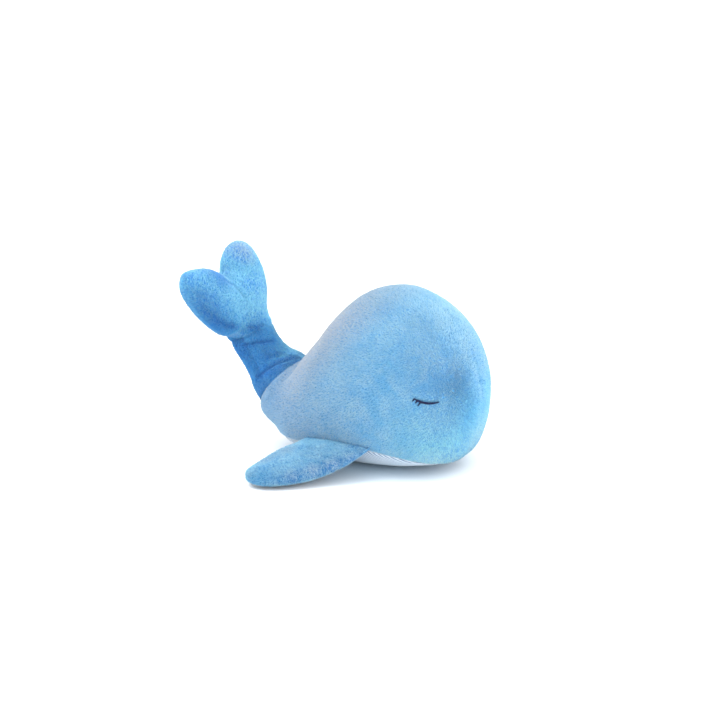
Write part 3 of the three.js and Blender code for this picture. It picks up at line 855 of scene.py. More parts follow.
def plush(name, light, deep, shade, fades=(), spots=(), parting=0.7, parting_shade_spot=None):
    """Short plush: painted shade at the roots, pale tips as a painted sheen, brushed patches, soft
    sheen.

    Each fade is a colour, the way it grows, how far that way it starts and ends, and how much.
    Each spot is a colour, its middle, how far from it the colour starts and ends, and how much.
    The painted shade where the pile parts grows round a spot: its middle, its reach and how much is
    left elsewhere.
    """
    material, tree, shader = new_material(name)
    brushed = node(tree, "ShaderNodeGroup", node_tree=BRUSHED).outputs
    place = object_places(tree)
    body = mixed(tree, brushed["Patch"], deep, light)
    for operation, changes in (("DOT_PRODUCT", fades), ("DISTANCE", spots)):
        for colour, where, start, end, most in changes:
            share = ranged(tree, measured(tree, operation, place, where), start, end, 0, most)
            body = mixed(tree, share, body, colour)
    # Specks of painted shade where the pile parts, more of it round a spot
    shade_where_parted = ranged(tree, brushed["Parting"], 0, 1, 0, parting)
    if parting_shade_spot:
        middle, reach, rest = parting_shade_spot
        away = measured(tree, "DISTANCE", place, middle)
        shade_where_parted = product(tree, shade_where_parted, ranged(tree, away, 0.4 * reach, reach, 1, rest))
    rise = attribute(tree, "rise")
    body = mixed(tree, shade_where_parted, body, shade)
    # Painted shade at the roots, where shade falls between the tufts
    body = mixed(tree, ranged(tree, rise, 0, 0.7, 0.8, 0), body, shade)
    # Painted sheen: the tips turn pale grey
    body = mixed(tree, ranged(tree, rise, 0.55, 1, 0, 0.16), body, TIP_SHEEN_GREY)
    body = mixed(tree, ranged(tree, attribute(tree, "fold"), 0, 1, 0, 0.85), body, CREASE_SHADE_BLUE)
    bright = ranged(tree, attribute(tree, "tint"), 0, 1, 0.9, 1.1)
    grey = node(tree, "ShaderNodeCombineColor", {0: bright, 1: bright, 2: bright}).outputs[0]
    feed(tree, shader, {
        "Base Color": mixed(tree, 1.0, body, grey, "MULTIPLY"),
        "Roughness": ranged(tree, brushed["Streak"], 0, 1, 0.75, 0.95),
        "Sheen Weight": 0.2,
        "Sheen Roughness": 0.4,
        "Sheen Tint": (0.85, 0.93, 1.0, 1),
        "Specular IOR Level": 0.15,
    })
    return material


def on_both_cheeks(colour, x, y, z, start, end, most):
    """One spot of colour, in mm, on the right side of the head and one on the left."""
    return [(colour, np.array([x, side * y, z]) * MM, start * MM, end * MM, most) for side in (-1, 1)]


# Painted light and shade on the body: a greyish painted haze towards the rear and over the top of the
# rear, a deeper blue at the very rear, a lighter painted top of the head with a darker band along its
# very top, painted bounce light on the cheeks and under the chin, a painted highlight on the sides of
# the head, a deeper blue patch on the front of the head, and more painted shade in the pile's
# partings round the front of the head
SKY = plush("sky_blue_plush", blue(180, 234, 255), blue(140, 215, 254), blue(86, 174, 242), fades=[
    (blue(174, 203, 227), (-1, 0, 0), -45 * MM, 60 * MM, 0.75),
    (blue(208, 202, 202), (-0.7, 0, 0.7), 82 * MM, 118 * MM, 0.75),
    (blue(134, 194, 236), (-1, 0, 0), 66 * MM, 96 * MM, 0.7),
    (blue(170, 212, 230), (0.6, 0, 0.8), 125 * MM, 168 * MM, 0.5),
    (blue(118, 176, 212), (-0.2, 0, 1), 148 * MM, 178 * MM, 0.55),
], spots=[
    *on_both_cheeks(blue(172, 246, 255), 92, 46, 46, 60, 15, 0.85),
    *on_both_cheeks(blue(112, 212, 255), 104, 25, 68, 34, 8, 0.6),
    *on_both_cheeks(blue(196, 240, 255), 92, 56, 72, 34, 8, 0.4),
    *on_both_cheeks(blue(206, 255, 255), 82, 44, 10, 34, 8, 0.8),
], parting=0.95, parting_shade_spot=(np.array([100, 0, 60]) * MM, 90 * MM, 0.25))
TO_LIGHT = VIEW_RIGHT * 0.6 + VIEW_UP * 0.8
TO_BODY = -stem_direction(0.4)
AT_SEAM = float(stem_centre(0.34) @ TO_BODY)
LOWER_EDGE = -VIEW_RIGHT * 0.62 - VIEW_UP * 0.79
# Painted light and shade on the tail: painted light towards the light, a lighter blue towards the
# body's seam, and painted shade along the near lobe's lower edge
TAIL_FADES = [
    (blue(142, 222, 244), TO_LIGHT, 2 * MM, 38 * MM, 0.92),
    (blue(140, 210, 248), TO_BODY, AT_SEAM - 16 * MM, AT_SEAM, 0.55),
    (blue(50, 134, 220), LOWER_EDGE, -17 * MM, -2 * MM, 0.5),
]


def on_fluke(pixel):
    """Where a pixel of the photograph falls on the front of the fluke."""
    start, way = photo_ray(pixel)
    out = Vector(stem_front(1))
    front = Vector(WAIST) + out * LOBE_HALF_THICKNESS
    return start + way * ((front - start).dot(out) / way.dot(out))


# Painted light and shade on the fluke: painted light on the near lobe's upper part and on the palm,
# greyish painted haze at both lobes' tips, painted shade in the notch and low on the near lobe, and a
# deeper blue at the waist
TAIL_SPOTS = [
    (blue(138, 220, 246), on_fluke((202, 288)), 46 * MM, 10 * MM, 0.7),
    (blue(206, 228, 232), on_fluke((184, 284)), 28 * MM, 4 * MM, 0.75),
    (blue(196, 222, 230), on_fluke((245, 244)), 26 * MM, 6 * MM, 0.75),
    (blue(48, 132, 206), on_fluke((222, 268)), 30 * MM, 6 * MM, 0.85),
    (blue(78, 184, 252), on_fluke((212, 324)), 30 * MM, 6 * MM, 0.45),
    (blue(146, 226, 248), on_fluke((257, 310)), 22 * MM, 6 * MM, 0.8),
    (blue(78, 178, 244), on_fluke((266, 336)), 26 * MM, 8 * MM, 0.75),
]
tail_plush = partial(plush, light=blue(100, 208, 255), deep=blue(76, 186, 255),
                     shade=blue(48, 142, 236), fades=TAIL_FADES, spots=TAIL_SPOTS)
DEEP = tail_plush("deep_blue_plush", parting=0.55)
FLUKE_BLUE = tail_plush("fluke_blue_plush", parting=0.75)


# Pile


def geometry_tree(name, numbers, material):
    """A new tree that takes geometry, numbers, a seed and a material, and its inputs' sockets."""
    tree = bpy.data.node_groups.new(name, "GeometryNodeTree")
    face = tree.interface
    face.new_socket("Geometry", in_out="OUTPUT", socket_type="NodeSocketGeometry")
    face.new_socket("Geometry", in_out="INPUT", socket_type="NodeSocketGeometry")
    for label, value in numbers.items():
        socket = face.new_socket(label, in_out="INPUT", socket_type="NodeSocketFloat")
        socket.default_value = value
    face.new_socket("Seed", in_out="INPUT", socket_type="NodeSocketInt")
    face.new_socket(material, in_out="INPUT", socket_type="NodeSocketMaterial")
    return tree, node(tree, "NodeGroupInput").outputs


def named(tree, name, kind):
    made = node(tree, "GeometryNodeInputNamedAttribute", {"Name": name}, data_type=kind)
    return made.outputs["Attribute"]


def finish_tree(tree, geometry, material):
    """Gives the real geometry its smooth shading and its material, and hands it out."""
    smooth = node(tree, "GeometryNodeSetShadeSmooth", {"Geometry": geometry})
    inputs = {"Geometry": smooth.outputs[0], "Material": material}
    finished = node(tree, "GeometryNodeSetMaterial", inputs)
    node(tree, "NodeGroupOutput", {0: finished.outputs[0]})


def pile_tree():
    """Tufts of pile: thin closed pyramids that lean with the nap, a few to each square mm."""
    tree, given = geometry_tree("Short plush pile", {
        "Tufts per square metre":
            FULL_TUFTS_PER_SQUARE_METRE,
        "Pile length": PILE_LENGTH,
        "Tuft half width": TUFT_HALF_WIDTH,
        "Lean": 0.8,
        "Clump size": 3 * MM,
        "Clumping": 1.15,
        "Spot on map": 0.0015,
    }, "Cloth")
    add = partial(node, tree)

    def plus(first, second):
        return add("ShaderNodeVectorMath", {0: first, 1: second}, operation="ADD").outputs[0]

    def scaled(first, scale):
        inputs = {0: first, "Scale": scale}
        return add("ShaderNodeVectorMath", inputs, operation="SCALE").outputs[0]

    def chance(low, high, salt):
        inputs = {2: low, 3: high, "Seed": salt}
        return add("FunctionNodeRandomValue", inputs, data_type="FLOAT").outputs[1]

    def kept(geometry, name, value, kind, domain="POINT"):
        made = add("GeometryNodeStoreNamedAttribute", data_type=kind, domain=domain)
        feed(tree, made, {"Geometry": geometry, "Name": name, "Value": value})
        return made.outputs["Geometry"]

    spread = add("GeometryNodeDistributePointsOnFaces", distribute_method="RANDOM")
    feed(tree, spread, {
        "Mesh": given["Geometry"],
        "Density": given["Tufts per square metre"],
        "Seed": given["Seed"],
    })
    position = add("GeometryNodeInputPosition").outputs[0]
    size = add("ShaderNodeMath", {0: 1.0, 1: given["Clump size"]}, operation="DIVIDE")
    clump = add("ShaderNodeTexNoise", {"Vector": position, "Scale": size.outputs[0], "Detail": 1.0})
    away = scaled(plus(clump.outputs["Color"], (-0.5, -0.5, -0.5)), given["Clumping"])
    leaning = scaled(named(tree, "nap", "FLOAT_VECTOR"), given["Lean"])
    way = plus(plus(spread.outputs["Normal"], leaning), away)
    turn = add("FunctionNodeAlignRotationToVector", {"Vector": way}, axis="Z")
    about = add("FunctionNodeAxisAngleToRotation",
                {"Axis": (0, 0, 1), "Angle": chance(0, 2 * math.pi, 5)})
    spin = add("FunctionNodeRotateRotation", {0: turn.outputs[0], 1: about.outputs[0]},
               rotation_space="LOCAL")

    full_length = product(tree, given["Pile length"], named(tree, "pile", "FLOAT"))
    length = product(tree, full_length, chance(0.7, 1.15, 8))
    width = product(tree, given["Tuft half width"], chance(0.75, 1.2, 9))
    stretch = add("ShaderNodeCombineXYZ", {0: width, 1: width, 2: length})
    shape = {"Vertices": 3, "Radius Top": 0, "Radius Bottom": 1, "Depth": 1}
    tuft = add("GeometryNodeMeshCone", shape, fill_type="NGON")
    place = add("GeometryNodeInstanceOnPoints", {
        "Points": kept(spread.outputs["Points"], "tint", chance(0, 1, 12), "FLOAT"),
        "Instance": kept(tuft.outputs["Mesh"], "spot", position, "FLOAT_VECTOR"),
        "Rotation": spin.outputs[0],
        "Scale": stretch.outputs[0],
    })
    real = add("GeometryNodeRealizeInstances", {0: place.outputs[0]})

    spot = named(tree, "spot", "FLOAT_VECTOR")
    height = add("ShaderNodeSeparateXYZ", {0: spot}).outputs[2]
    geometry = kept(real.outputs[0], "rise", height, "FLOAT")
    on_map = plus(named(tree, "root", "FLOAT_VECTOR"), scaled(spot, given["Spot on map"]))
    geometry = kept(geometry, "OFBake", on_map, "FLOAT2", "CORNER")
    finish_tree(tree, geometry, given["Cloth"])
    return tree


PILE = pile_tree()


def grown(piece, name, tree, inputs):
    """The plain mesh that a tree of geometry nodes makes of a piece."""
    modifier = piece.modifiers.new(tree.name, "NODES")
    modifier.node_group = tree
    for item in tree.interface.items_tree:
        if item.in_out == "INPUT" and item.name in inputs:
            modifier[item.identifier] = inputs[item.name]
    mesh = worked_out(piece)
    piece.modifiers.remove(modifier)
    mesh.name = name
    return mesh


def corner_map(mesh):
    """The sheet's map as a value of each vertex, for tufts to take their spot from."""
    found = np.zeros((len(mesh.vertices), 3), np.float32)
    found[corners_of(mesh), :2] = read(mesh.uv_layers["OFBake"].data, "uv", 2)
    return found


def strip_of(sheet, part, parts, axis):
    """One of several strips of a sheet, cut across an axis, with about equal areas."""
    middles = np.array([p.center[axis] for p in sheet.polygons])
    areas = np.array([p.area for p in sheet.polygons])
    order = np.argsort(middles, kind="stable")
    share = np.empty(len(order))
    share[order] = np.cumsum(areas[order]) / areas.sum()
    keep = (share > part / parts) & (share <= (part + 1) / parts + (part == parts - 1))
    strip = sheet.copy()
    with edited(strip) as edit:
        edit.faces.ensure_lookup_table()
        cut_off = [f for f, k in zip(edit.faces, keep) if not k]
        bmesh.ops.delete(edit, geom=cut_off, context="FACES")
    return strip


def pile_on(name, sheet, material, nap, pile, seed, axis):
    """The pile of one sheet, as one piece or as a few that lie side by side."""
    set_attribute(sheet, "nap", nap, "FLOAT_VECTOR")
    set_attribute(sheet, "pile", pile)
    set_attribute(sheet, "root", corner_map(sheet), "FLOAT_VECTOR")
    tufts = sum(p.area for p in sheet.polygons) * FULL_TUFTS_PER_SQUARE_METRE
    parts = max(1, math.ceil(tufts / MOST_TUFTS_A_PIECE))
    made = []
    for part in range(parts):
        strip = strip_of(sheet, part, parts, axis) if parts > 1 else sheet
        ground = linked("pile_ground", strip)
        label = f"{name}_{part + 1}" if parts > 1 else name
        mesh = grown(ground, label, PILE, {"Seed": seed + part, "Cloth": material})
        bpy.data.objects.remove(ground)
        for extra in ("nap", "pile", "root", "spot", "flow"):
            if extra in mesh.attributes:
                mesh.attributes.remove(mesh.attributes[extra])
        press_on_floor(mesh)
        made.append(linked(label, mesh))
    return made


def flow_of(mesh):
    """A sheet's flow as a direction at each vertex."""
    return unit(read(mesh.attributes["flow"].data, "vector", 3).astype(float), 1e-9)


def nap_of(mesh, main, seed=3, middle=0.0):
    """Which way the pile lies: mainly one way, swaying where it has been brushed."""
    co, out = places(mesh), normals(mesh)
    way = np.zeros((len(co), 3)) + main
    for axis in range(3):
        way[:, axis] += NAP_SWAY_SHARE * 2 * noise_at(co, NAP_SWAY_SIZE, seed + axis)
    if middle:
        way[:, 1] *= smooth_share(np.abs(co[:, 1]) / middle)
    way -= out * (way * out).sum(1)[:, None]
    return unit(way, 0.2)


def dressed(name, sheet, material, stands_for, hold, nap, from_seam, seed,
            axis=0, thickness=CLOTH_THICKNESS, seam_pile=0.62):
    """Makes a sheet's cloth and pile, and fastens both to their body by hold."""
    cloth = cloth_from(name, sheet, thickness)
    cloth.data.materials.clear()
    cloth.data.materials.append(material)
    fasten(cloth, hold, stands_for)
    length = mix(seam_pile, 1.0, smooth_share(from_seam / FULL_PILE_FROM_SEAM))
    for piece in pile_on(f"{name}_pile", sheet, material, nap, length, seed, axis):
        hold(piece)


# Body sides


NOSE_ROWS = 14
MIDDLE_ROWS = 86
REAR_ROWS = 22
BODY_COLUMNS = 76
INSIDE_BODY = (0, 0, 70 * MM)
LIP = 0.6 * MM
LIP_EASE_SHARE = 0.3
LIP_PASSES = 30
LIP_STATIONS = 1.3
LIP_START = SHOULDER_START - LIP_STATIONS / body_skin.stations
TOP_SEAM_DEPTH = 0.3 * MM
TOP_SEAM_WIDTH = 2.5 * MM
ON_TOP_SEAM = 0.3 * MM
EYE_DIP = 0.9 * MM
EYE_DIP_WIDTH = 1.8 * MM
BARE_ROUND_EYE = 1.2 * MM
PILE_ROUND_EYE = 3 * MM
CALM_ROUND_NOSE = 60 * MM
CALM_ROUND_TOP = 30 * MM
SIDE_SEAM_DEPTH = 1.1 * MM
SIDE_FLOOR_GAP = 1.5 * MM


def body_surface(along, turn):
    """The body's surface, drawn out to the tail's seam, where it lies just over the stem's."""
    point = body_skin.surface(along, turn)
    share = smooth_share((along - LIP_START) / (SHOULDER_RING - LIP_START))
    ring = body_skin.surface(SHOULDER_RING, turn)
    goal = stem_skin.surface(stem_along(tail_seam_share(turn)), math.pi - turn)
    out = goal - SHOULDER
    out -= (out @ stem_direction(0.3))[..., None] * stem_direction(0.3)
    goal += unit(out) * LIP
    return point + share[..., None] * (goal - ring)


def right_side_sheet():
    """The right side's cloth from the top seam to the belly's, and round the tail's root."""
    rows = np.concatenate([
        np.linspace(0, BELLY_START, NOSE_ROWS)[:-1],
        mix(BELLY_START, BELLY_END, eased(MIDDLE_ROWS, 0.8)),
        np.linspace(BELLY_END, SHOULDER_RING, REAR_ROWS)[1:],
    ])[:, None]
    turn = (math.pi - belly_turn(rows)) * np.linspace(0, 1, BODY_COLUMNS)[None, :]
    points = body_surface(rows, turn)
    give = smooth_share((rows - BELLY_END) / (LIP_EASE_SHARE * (SHOULDER_RING - BELLY_END)))
    give = give[1:-1, :, None]
    for _ in range(LIP_PASSES):
        points[1:-1] = mix(points[1:-1], (points[:-2] + points[2:]) / 2, 0.5 * give)
    before = body_skin.surface(np.maximum(rows - 0.02, 0), turn)
    flow = body_skin.surface(rows + 0.02, turn) - before
    return sheet_from_grid("right_side_sheet", points, INSIDE_BODY, flow)


def eye_lines(tree, side):
    """The eye's arc and its lashes as evenly spaced places on the cloth, each with its way out."""

    def spot(x, z):
        hit, out, _, _ = tree.ray_cast(Vector((x, side * BODY_WIDTH, z)), Vector((0, -side, 0)))
        return [*hit, *out]

    def arc(share):
        x = mix(EYE_REAR_X, EYE_FRONT_X, share)
        return x, mix(EYE_REAR_Z, EYE_FRONT_Z, share) - EYE_SAG * (1 - (2 * share - 1) ** 2)

    lines = [np.array([spot(*arc(share)) for share in np.linspace(0, 1, 60)])]
    for start, forward, up in LASH_SHARES:
        x, z = arc(start)
        lash = [spot(x + share * forward * LASH_LENGTH, z + share * up * LASH_LENGTH)
                for share in np.linspace(0, 1, 14)]
        lines.append(np.array(lash))
    return lines


def body_swelling():
    closed = closed_tube(rings(body_skin, 0, SHOULDER_RING, 70))
    return swelling("body", closed, boundary_points(right_side_sheet()), BODY_SWELL_VOXEL)


def add_sides(swell):
    """Both side panels. Gives each one's sheet, its eye's lines and how far these are from it."""
    right = right_side_sheet()
    lift(right, swell(right))
    middle = boundary_points(right, lambda co: np.abs(co[:, 1]) < ON_TOP_SEAM)
    seams = boundary_points(right, lambda co: np.abs(co[:, 1]) >= ON_TOP_SEAM)
    lift(right, -TOP_SEAM_DEPTH * bell(distance_to(middle, right), TOP_SEAM_WIDTH))
    from_seam = soften(right, seams, seam_depth=SIDE_SEAM_DEPTH, inset=PILE_ROOM)
    press_on_floor(right, SIDE_FLOOR_GAP)
    made = {}
    for name, side in (("right", -1), ("left", 1)):
        sheet = right if name == "right" else mirrored(right, "left_side_sheet")
        lines = eye_lines(tree_of([sheet]), side)
        near_eye = distance_to(np.vstack(lines)[:, :3], sheet)
        lift(sheet, -EYE_DIP * bell(near_eye, EYE_DIP_WIDTH))
        made[name] = (sheet, lines, near_eye)
    nap = nap_of(right, flow_of(right) + [0, 0, -0.3], middle=CALM_ROUND_TOP)
    from_nose = np.linalg.norm(places(right) - [BODY_LENGTH / 2, 0, NOSE_HEIGHT], axis=1)
    nap *= mix(0.15, 1, smooth_share(from_nose / CALM_ROUND_NOSE))[:, None]
    for number, (name, (sheet, _, near_eye)) in enumerate(made.items()):
        round_eye = smooth_share((near_eye - BARE_ROUND_EYE) / PILE_ROUND_EYE)
        from_edge = np.minimum(from_seam, FULL_PILE_FROM_SEAM * round_eye)
        dressed(f"{name}_side", sheet, SKY, f"body_panel_{name}", ride("body"),
                nap if name == "right" else nap * [1, -1, 1], from_edge, 100 * (number + 1))
    return made


# Belly


BELLY_ROWS = 285
BELLY_COLUMNS = 170
BELLY_THICKNESS = 1.0 * MM
BELLY_INSET = 1.2 * MM
BELLY_SEAM_DEPTH = 0.8 * MM
BELLY_SEAM_WIDTH = 2.5 * MM
RIB_SPACING = 3.0 * MM
RIB_HEIGHT = 0.95 * MM
RIB_SLANT = math.radians(40)
RIB_FADE = 2 * MM
RIB_WANDER = 0.5 * MM
RIB_WANDER_SIZE = 30 * MM


def belly_sheet():
    """The cloth from one belly seam to the other, its points and how far aside each lies."""
    rows = mix(BELLY_START, BELLY_END, eased(BELLY_ROWS + 2, 0.6))[1:-1, None]
    turn = math.pi + belly_turn(rows) * np.linspace(-1, 1, BELLY_COLUMNS)[None, :]
    points = body_skin.surface(rows, turn)
    step = np.linalg.norm(np.diff(points, axis=1), axis=2)
    across = np.concatenate([np.zeros((len(points), 1)), np.cumsum(step, axis=1)], axis=1)
    across -= across[:, -1:] / 2
    return sheet_from_grid("belly_sheet", points, INSIDE_BODY), points, across


def add_belly(swell):
    """The ribbed cloth, with its ribs as real ridges."""
    sheet, points, across = belly_sheet()
    tree = tree_of_points(points.reshape(-1, 3))
    aside = across.ravel()[[tree.find(v.co)[1] for v in sheet.vertices]]
    co = places(sheet)
    phase = co[:, 0] * math.cos(RIB_SLANT) + np.abs(aside) * math.sin(RIB_SLANT)
    phase += RIB_WANDER * noise_at(co, RIB_WANDER_SIZE, 9)
    rib = 0.5 + 0.5 * np.cos(2 * math.pi * phase / RIB_SPACING)
    lift(sheet, swell(sheet))
    from_seam = soften(sheet, boundary_points(sheet), seam_depth=BELLY_SEAM_DEPTH,
                       seam_width=BELLY_SEAM_WIDTH, inset=BELLY_INSET)
    fading = smooth_share(from_seam / RIB_FADE)
    lift(sheet, RIB_HEIGHT * (rib - 0.6) * fading)
    set_attribute(sheet, "rise", mix(0.7, rib, fading))
    press_on_floor(sheet)
    cloth = cloth_from("ribbed_belly", sheet, BELLY_THICKNESS)
    cloth.data.materials.append(RIBBED)
    fasten(cloth, ride("body"), "belly_panel")
    return sheet


# Tail stem


STEM_ROWS = 60
STEM_COLUMNS = 60
WAIST_SEAM = -1.5 * MM
STEM_OVERLAP = 7 * MM
SEAM_TUCK_SHARE = 0.04


def first_share(test, low, high, steps=30):
    """For each entry, the share between low and high at which the test turns true."""
    for _ in range(steps):
        middle = (low + high) / 2
        found = test(middle)
        low, high = np.where(found, low, middle), np.where(found, middle, high)
    return (low + high) / 2


def stem_sheets():
    """The upper and the lower cloth of the stem, from inside the fluke to the body's seam."""
    turn = np.linspace(0, 2 * math.pi, 2 * STEM_COLUMNS, endpoint=False)

    def under_fluke(along):
        height = (stem_skin.surface(along, turn) - WAIST) @ stem_direction(1)
        return height < WAIST_SEAM + STEM_OVERLAP

    start = first_share(under_fluke, np.full(turn.shape, 0.2), np.full(turn.shape, 0.5))
    end = stem_along(tail_seam_share(turn) - SEAM_TUCK_SHARE)
    along = mix(start, end, np.linspace(0, 1, STEM_ROWS)[:, None])
    points = drawn_in(stem_skin.surface(along, turn))
    quarter = STEM_COLUMNS // 2
    top = points[:, quarter:quarter + STEM_COLUMNS + 1]
    under = np.roll(points, quarter, axis=1)[:, :STEM_COLUMNS + 1]
    inside = stem_centre(0.7)
    return (sheet_from_grid("stem_top_sheet", top, inside),
            sheet_from_grid("stem_under_sheet", under, inside))


STEM_HOLD = blend("body", "tail", stem_centre(0.3), stem_centre(0.75))
FLUKE_HOLD = blend("tail", "fluke", *(WAIST + stem_direction(1) * up * MM for up in (2, 24)))


# Fluke


LOBE_ROWS = 50
LOBE_SIDES = 64
FLUKE_VOXEL = 2.0 * MM
SEAM_BEHIND = 8 * MM
SEAM_BEHIND_WIDTH = 34 * MM
BACK_FULLNESS = 3.3 * MM
BACK_MIDDLE = -7 * MM
BACK_REACH_UP = 15 * MM
BACK_REACH_DOWN = 22 * MM
PALM_HEIGHT = 28 * MM
PALM_RADII = (30 * MM, 20.8 * MM, 38 * MM)
# The fold between the lobes is eased from the waist up to a height, and this far aside
EASED_FROM = 2 * MM
EASED_FADE_IN = 12 * MM
EASED_TO = 58 * MM
EASED_FADE_OUT = 24 * MM
EASED_ASIDE = 44 * MM
EASED_FADE_ASIDE = 16 * MM
EASED_PASSES = 160
ROUND_ABOVE_WAIST = 7 * MM
OVER_STEM = 0.3 * MM
CUT_TOUCH = 0.05 * MM
TAIL_SEAM_DEPTH = 0.3 * MM
TAIL_SEAM_WIDTH = 2.6 * MM


def place_on_fluke(p):
    """Places in the fluke's frame, to its right, front and up, brought to the toy's."""
    right = np.array([0, -1, 0])
    parts = (p[..., 0:1] * right, p[..., 1:2] * stem_front(1), p[..., 2:3] * stem_direction(1))
    return WAIST + sum(parts)


def make_lobe_skin(side):
    """One lobe's skin, before it leans: side is 1 for the right lobe."""
    outer, inner = [], []
    spread, reach = LOBE_SPREAD * LOBE_SPREAD_SHARE[side], LOBE_REACH * LOBE_REACH_SHARE[side]
    for row, (out_side, out_up, in_side, in_up, thickness) in enumerate(LOBE_STATION_SHARES):
        half = thickness * LOBE_HALF_THICKNESS * LOBE_FULLNESS_SHARE[side]
        half *= mix(LOBE_TIP_FULLNESS_SHARE[side], 1, min(row / 4, 1))
        outer.append((out_side * spread, -half, out_up * reach))
        inner.append((in_side * spread, half, in_up * reach * LOBE_INNER_SHARE[side]))
    tip = (LOBE_TIP_SHARES[0] * spread, 0, LOBE_TIP_SHARES[1] * reach)
    return Skin(outer, tip, inner)


def drawn_in(points):
    """A closed ring surface moved inwards, as room for the pile."""
    around = np.roll(points, -1, axis=1) - np.roll(points, 1, axis=1)
    out = unit(np.cross(np.gradient(points, axis=0), around))
    out[0] = unit(out[1].mean(axis=0))
    if ((points - points.mean(axis=(0, 1))) * out).sum() < 0:
        out = -out
    return points - out * PILE_ROOM


def lobe_points(side):
    """The right lobe, or the left one for a side of -1, in the fluke's own frame."""
    rows = eased(LOBE_ROWS, 0.5)[:, None]
    turn = np.linspace(0, 2 * math.pi, LOBE_SIDES, endpoint=False)
    local = drawn_in(make_lobe_skin(side).surface(rows, turn)) * [side, 1, 1]
    lean = LOBE_LEAN[side]
    x, z = local[..., 0].copy(), local[..., 2].copy()
    local[..., 0] = x * math.cos(lean) + z * math.sin(lean)
    local[..., 2] = z * math.cos(lean) - x * math.sin(lean)
    local[..., 1] += LOBE_BOW[side] * (np.maximum(local[..., 2], 0) / LOBE_REACH) ** 2
    return local


def fluke_form(voxel, passes):
    """One skin over both lobes and the palm that fills the fold between them low down."""
    lumps = [closed_tube(lobe_points(side)) for side in (1, -1)]
    lumps.append(bpy.data.meshes.new("palm"))
    with edited(lumps[-1]) as palm:
        bmesh.ops.create_uvsphere(palm, u_segments=48, v_segments=32, radius=1)
        bmesh.ops.scale(palm, vec=PALM_RADII, verts=palm.verts)
        bmesh.ops.translate(palm, vec=(0, 0, PALM_HEIGHT), verts=palm.verts)
    return remeshed(joined("lobes", lumps), voxel, passes)


def fluke_skin():
    """The fluke's whole cloth in its own frame, round at the waist."""
    mesh = fluke_form(FLUKE_VOXEL, 20)
    local = places(mesh)
    give = smooth_share((EASED_TO - local[:, 2]) / EASED_FADE_OUT)
    give *= smooth_share((EASED_ASIDE - np.abs(local[:, 0])) / EASED_FADE_ASIDE)
    relax(mesh, give * smooth_share((local[:, 2] - EASED_FROM) / EASED_FADE_IN), EASED_PASSES)
    seam = places(mesh)[np.abs(places(mesh)[:, 1]) < MM]
    lift(mesh, swelling("fluke", mesh, seam, LIMB_SWELL_VOXEL)(mesh))
    local = places(mesh)
    away = np.hypot(local[:, 0], local[:, 1])
    share = smooth_share((local[:, 2] - WAIST_SEAM) / ROUND_ABOVE_WAIST)
    wanted = mix(WAIST_RADIUS - PILE_ROOM + OVER_STEM, away, share)
    local[:, :2] *= (wanted / np.maximum(away, MM))[:, None]
    move_to(mesh, local)
    return mesh


def relax(mesh, give, passes):
    """Draws each vertex towards the middle of its neighbours, by its own give from 0 to 1."""
    ends = read(mesh.edges, "vertices", 2, np.int32)
    first, second = ends.T
    count = np.bincount(ends.ravel(), minlength=len(mesh.vertices))[:, None]
    co = places(mesh)

    def total(axis):
        near = np.bincount(first, co[second, axis], len(co))
        return near + np.bincount(second, co[first, axis], len(co))

    for _ in range(passes):
        middle = np.stack([total(axis) for axis in range(3)], axis=1) / count
        co = mix(co, middle, give[:, None] * 0.5)
    move_to(mesh, co)


def seam_shift(local):
    """How far behind the middle the fluke's seam lies: the front cloth wraps round the lobes."""
    return SEAM_BEHIND * smooth_share(np.abs(local[:, 0]) / SEAM_BEHIND_WIDTH)


def fluke_half(skin, side, name):
    """The front or the back cloth of the fluke: side is 1 for the front."""
    sheet = skin.copy()
    sheet.name = name
    local = places(sheet)
    local[:, 1] += seam_shift(local)
    move_to(sheet, local)
    with edited(sheet) as edit:
        for co, no in (((0, 0, 0), (0, side, 0)), ((0, 0, WAIST_SEAM), (0, 0, 1))):
            everything = edit.verts[:] + edit.edges[:] + edit.faces[:]
            bmesh.ops.bisect_plane(edit, geom=everything, plane_co=co, plane_no=no,
                                   clear_inner=True, dist=CUT_TOUCH)
        bmesh.ops.triangulate(edit, faces=[f for f in edit.faces if len(f.verts) > 4])
    local = places(sheet)
    local[:, 1] -= seam_shift(local)
    move_to(sheet, local)
    wrapped = np.maximum(-local[:, 1] * side, 0)[:, None]
    flat = local[:, [0, 2]] + unit(normals(sheet)[:, [0, 2]], 1e-6) * wrapped
    set_map(sheet, (flat - FLUKE_MAP_CORNER) / FLUKE_MAP_SIZE)
    move_to(sheet, place_on_fluke(local))
    sheet.shade_smooth()
    return sheet


def fill_back(mesh):
    """The stuffed back of the tail stands a little fuller round its waist."""
    co = places(mesh)
    up = stem_direction(1)
    height = (co - WAIST) @ up
    out = unit(co - WAIST - height[:, None] * up, MM)
    behind = smooth_share(-(out @ stem_front(1)) * 1.2)
    reach = np.where(height > BACK_MIDDLE, BACK_REACH_UP, BACK_REACH_DOWN)
    amount = BACK_FULLNESS * behind * bell(height - BACK_MIDDLE, reach)
    move_to(mesh, co + amount[:, None] * out)


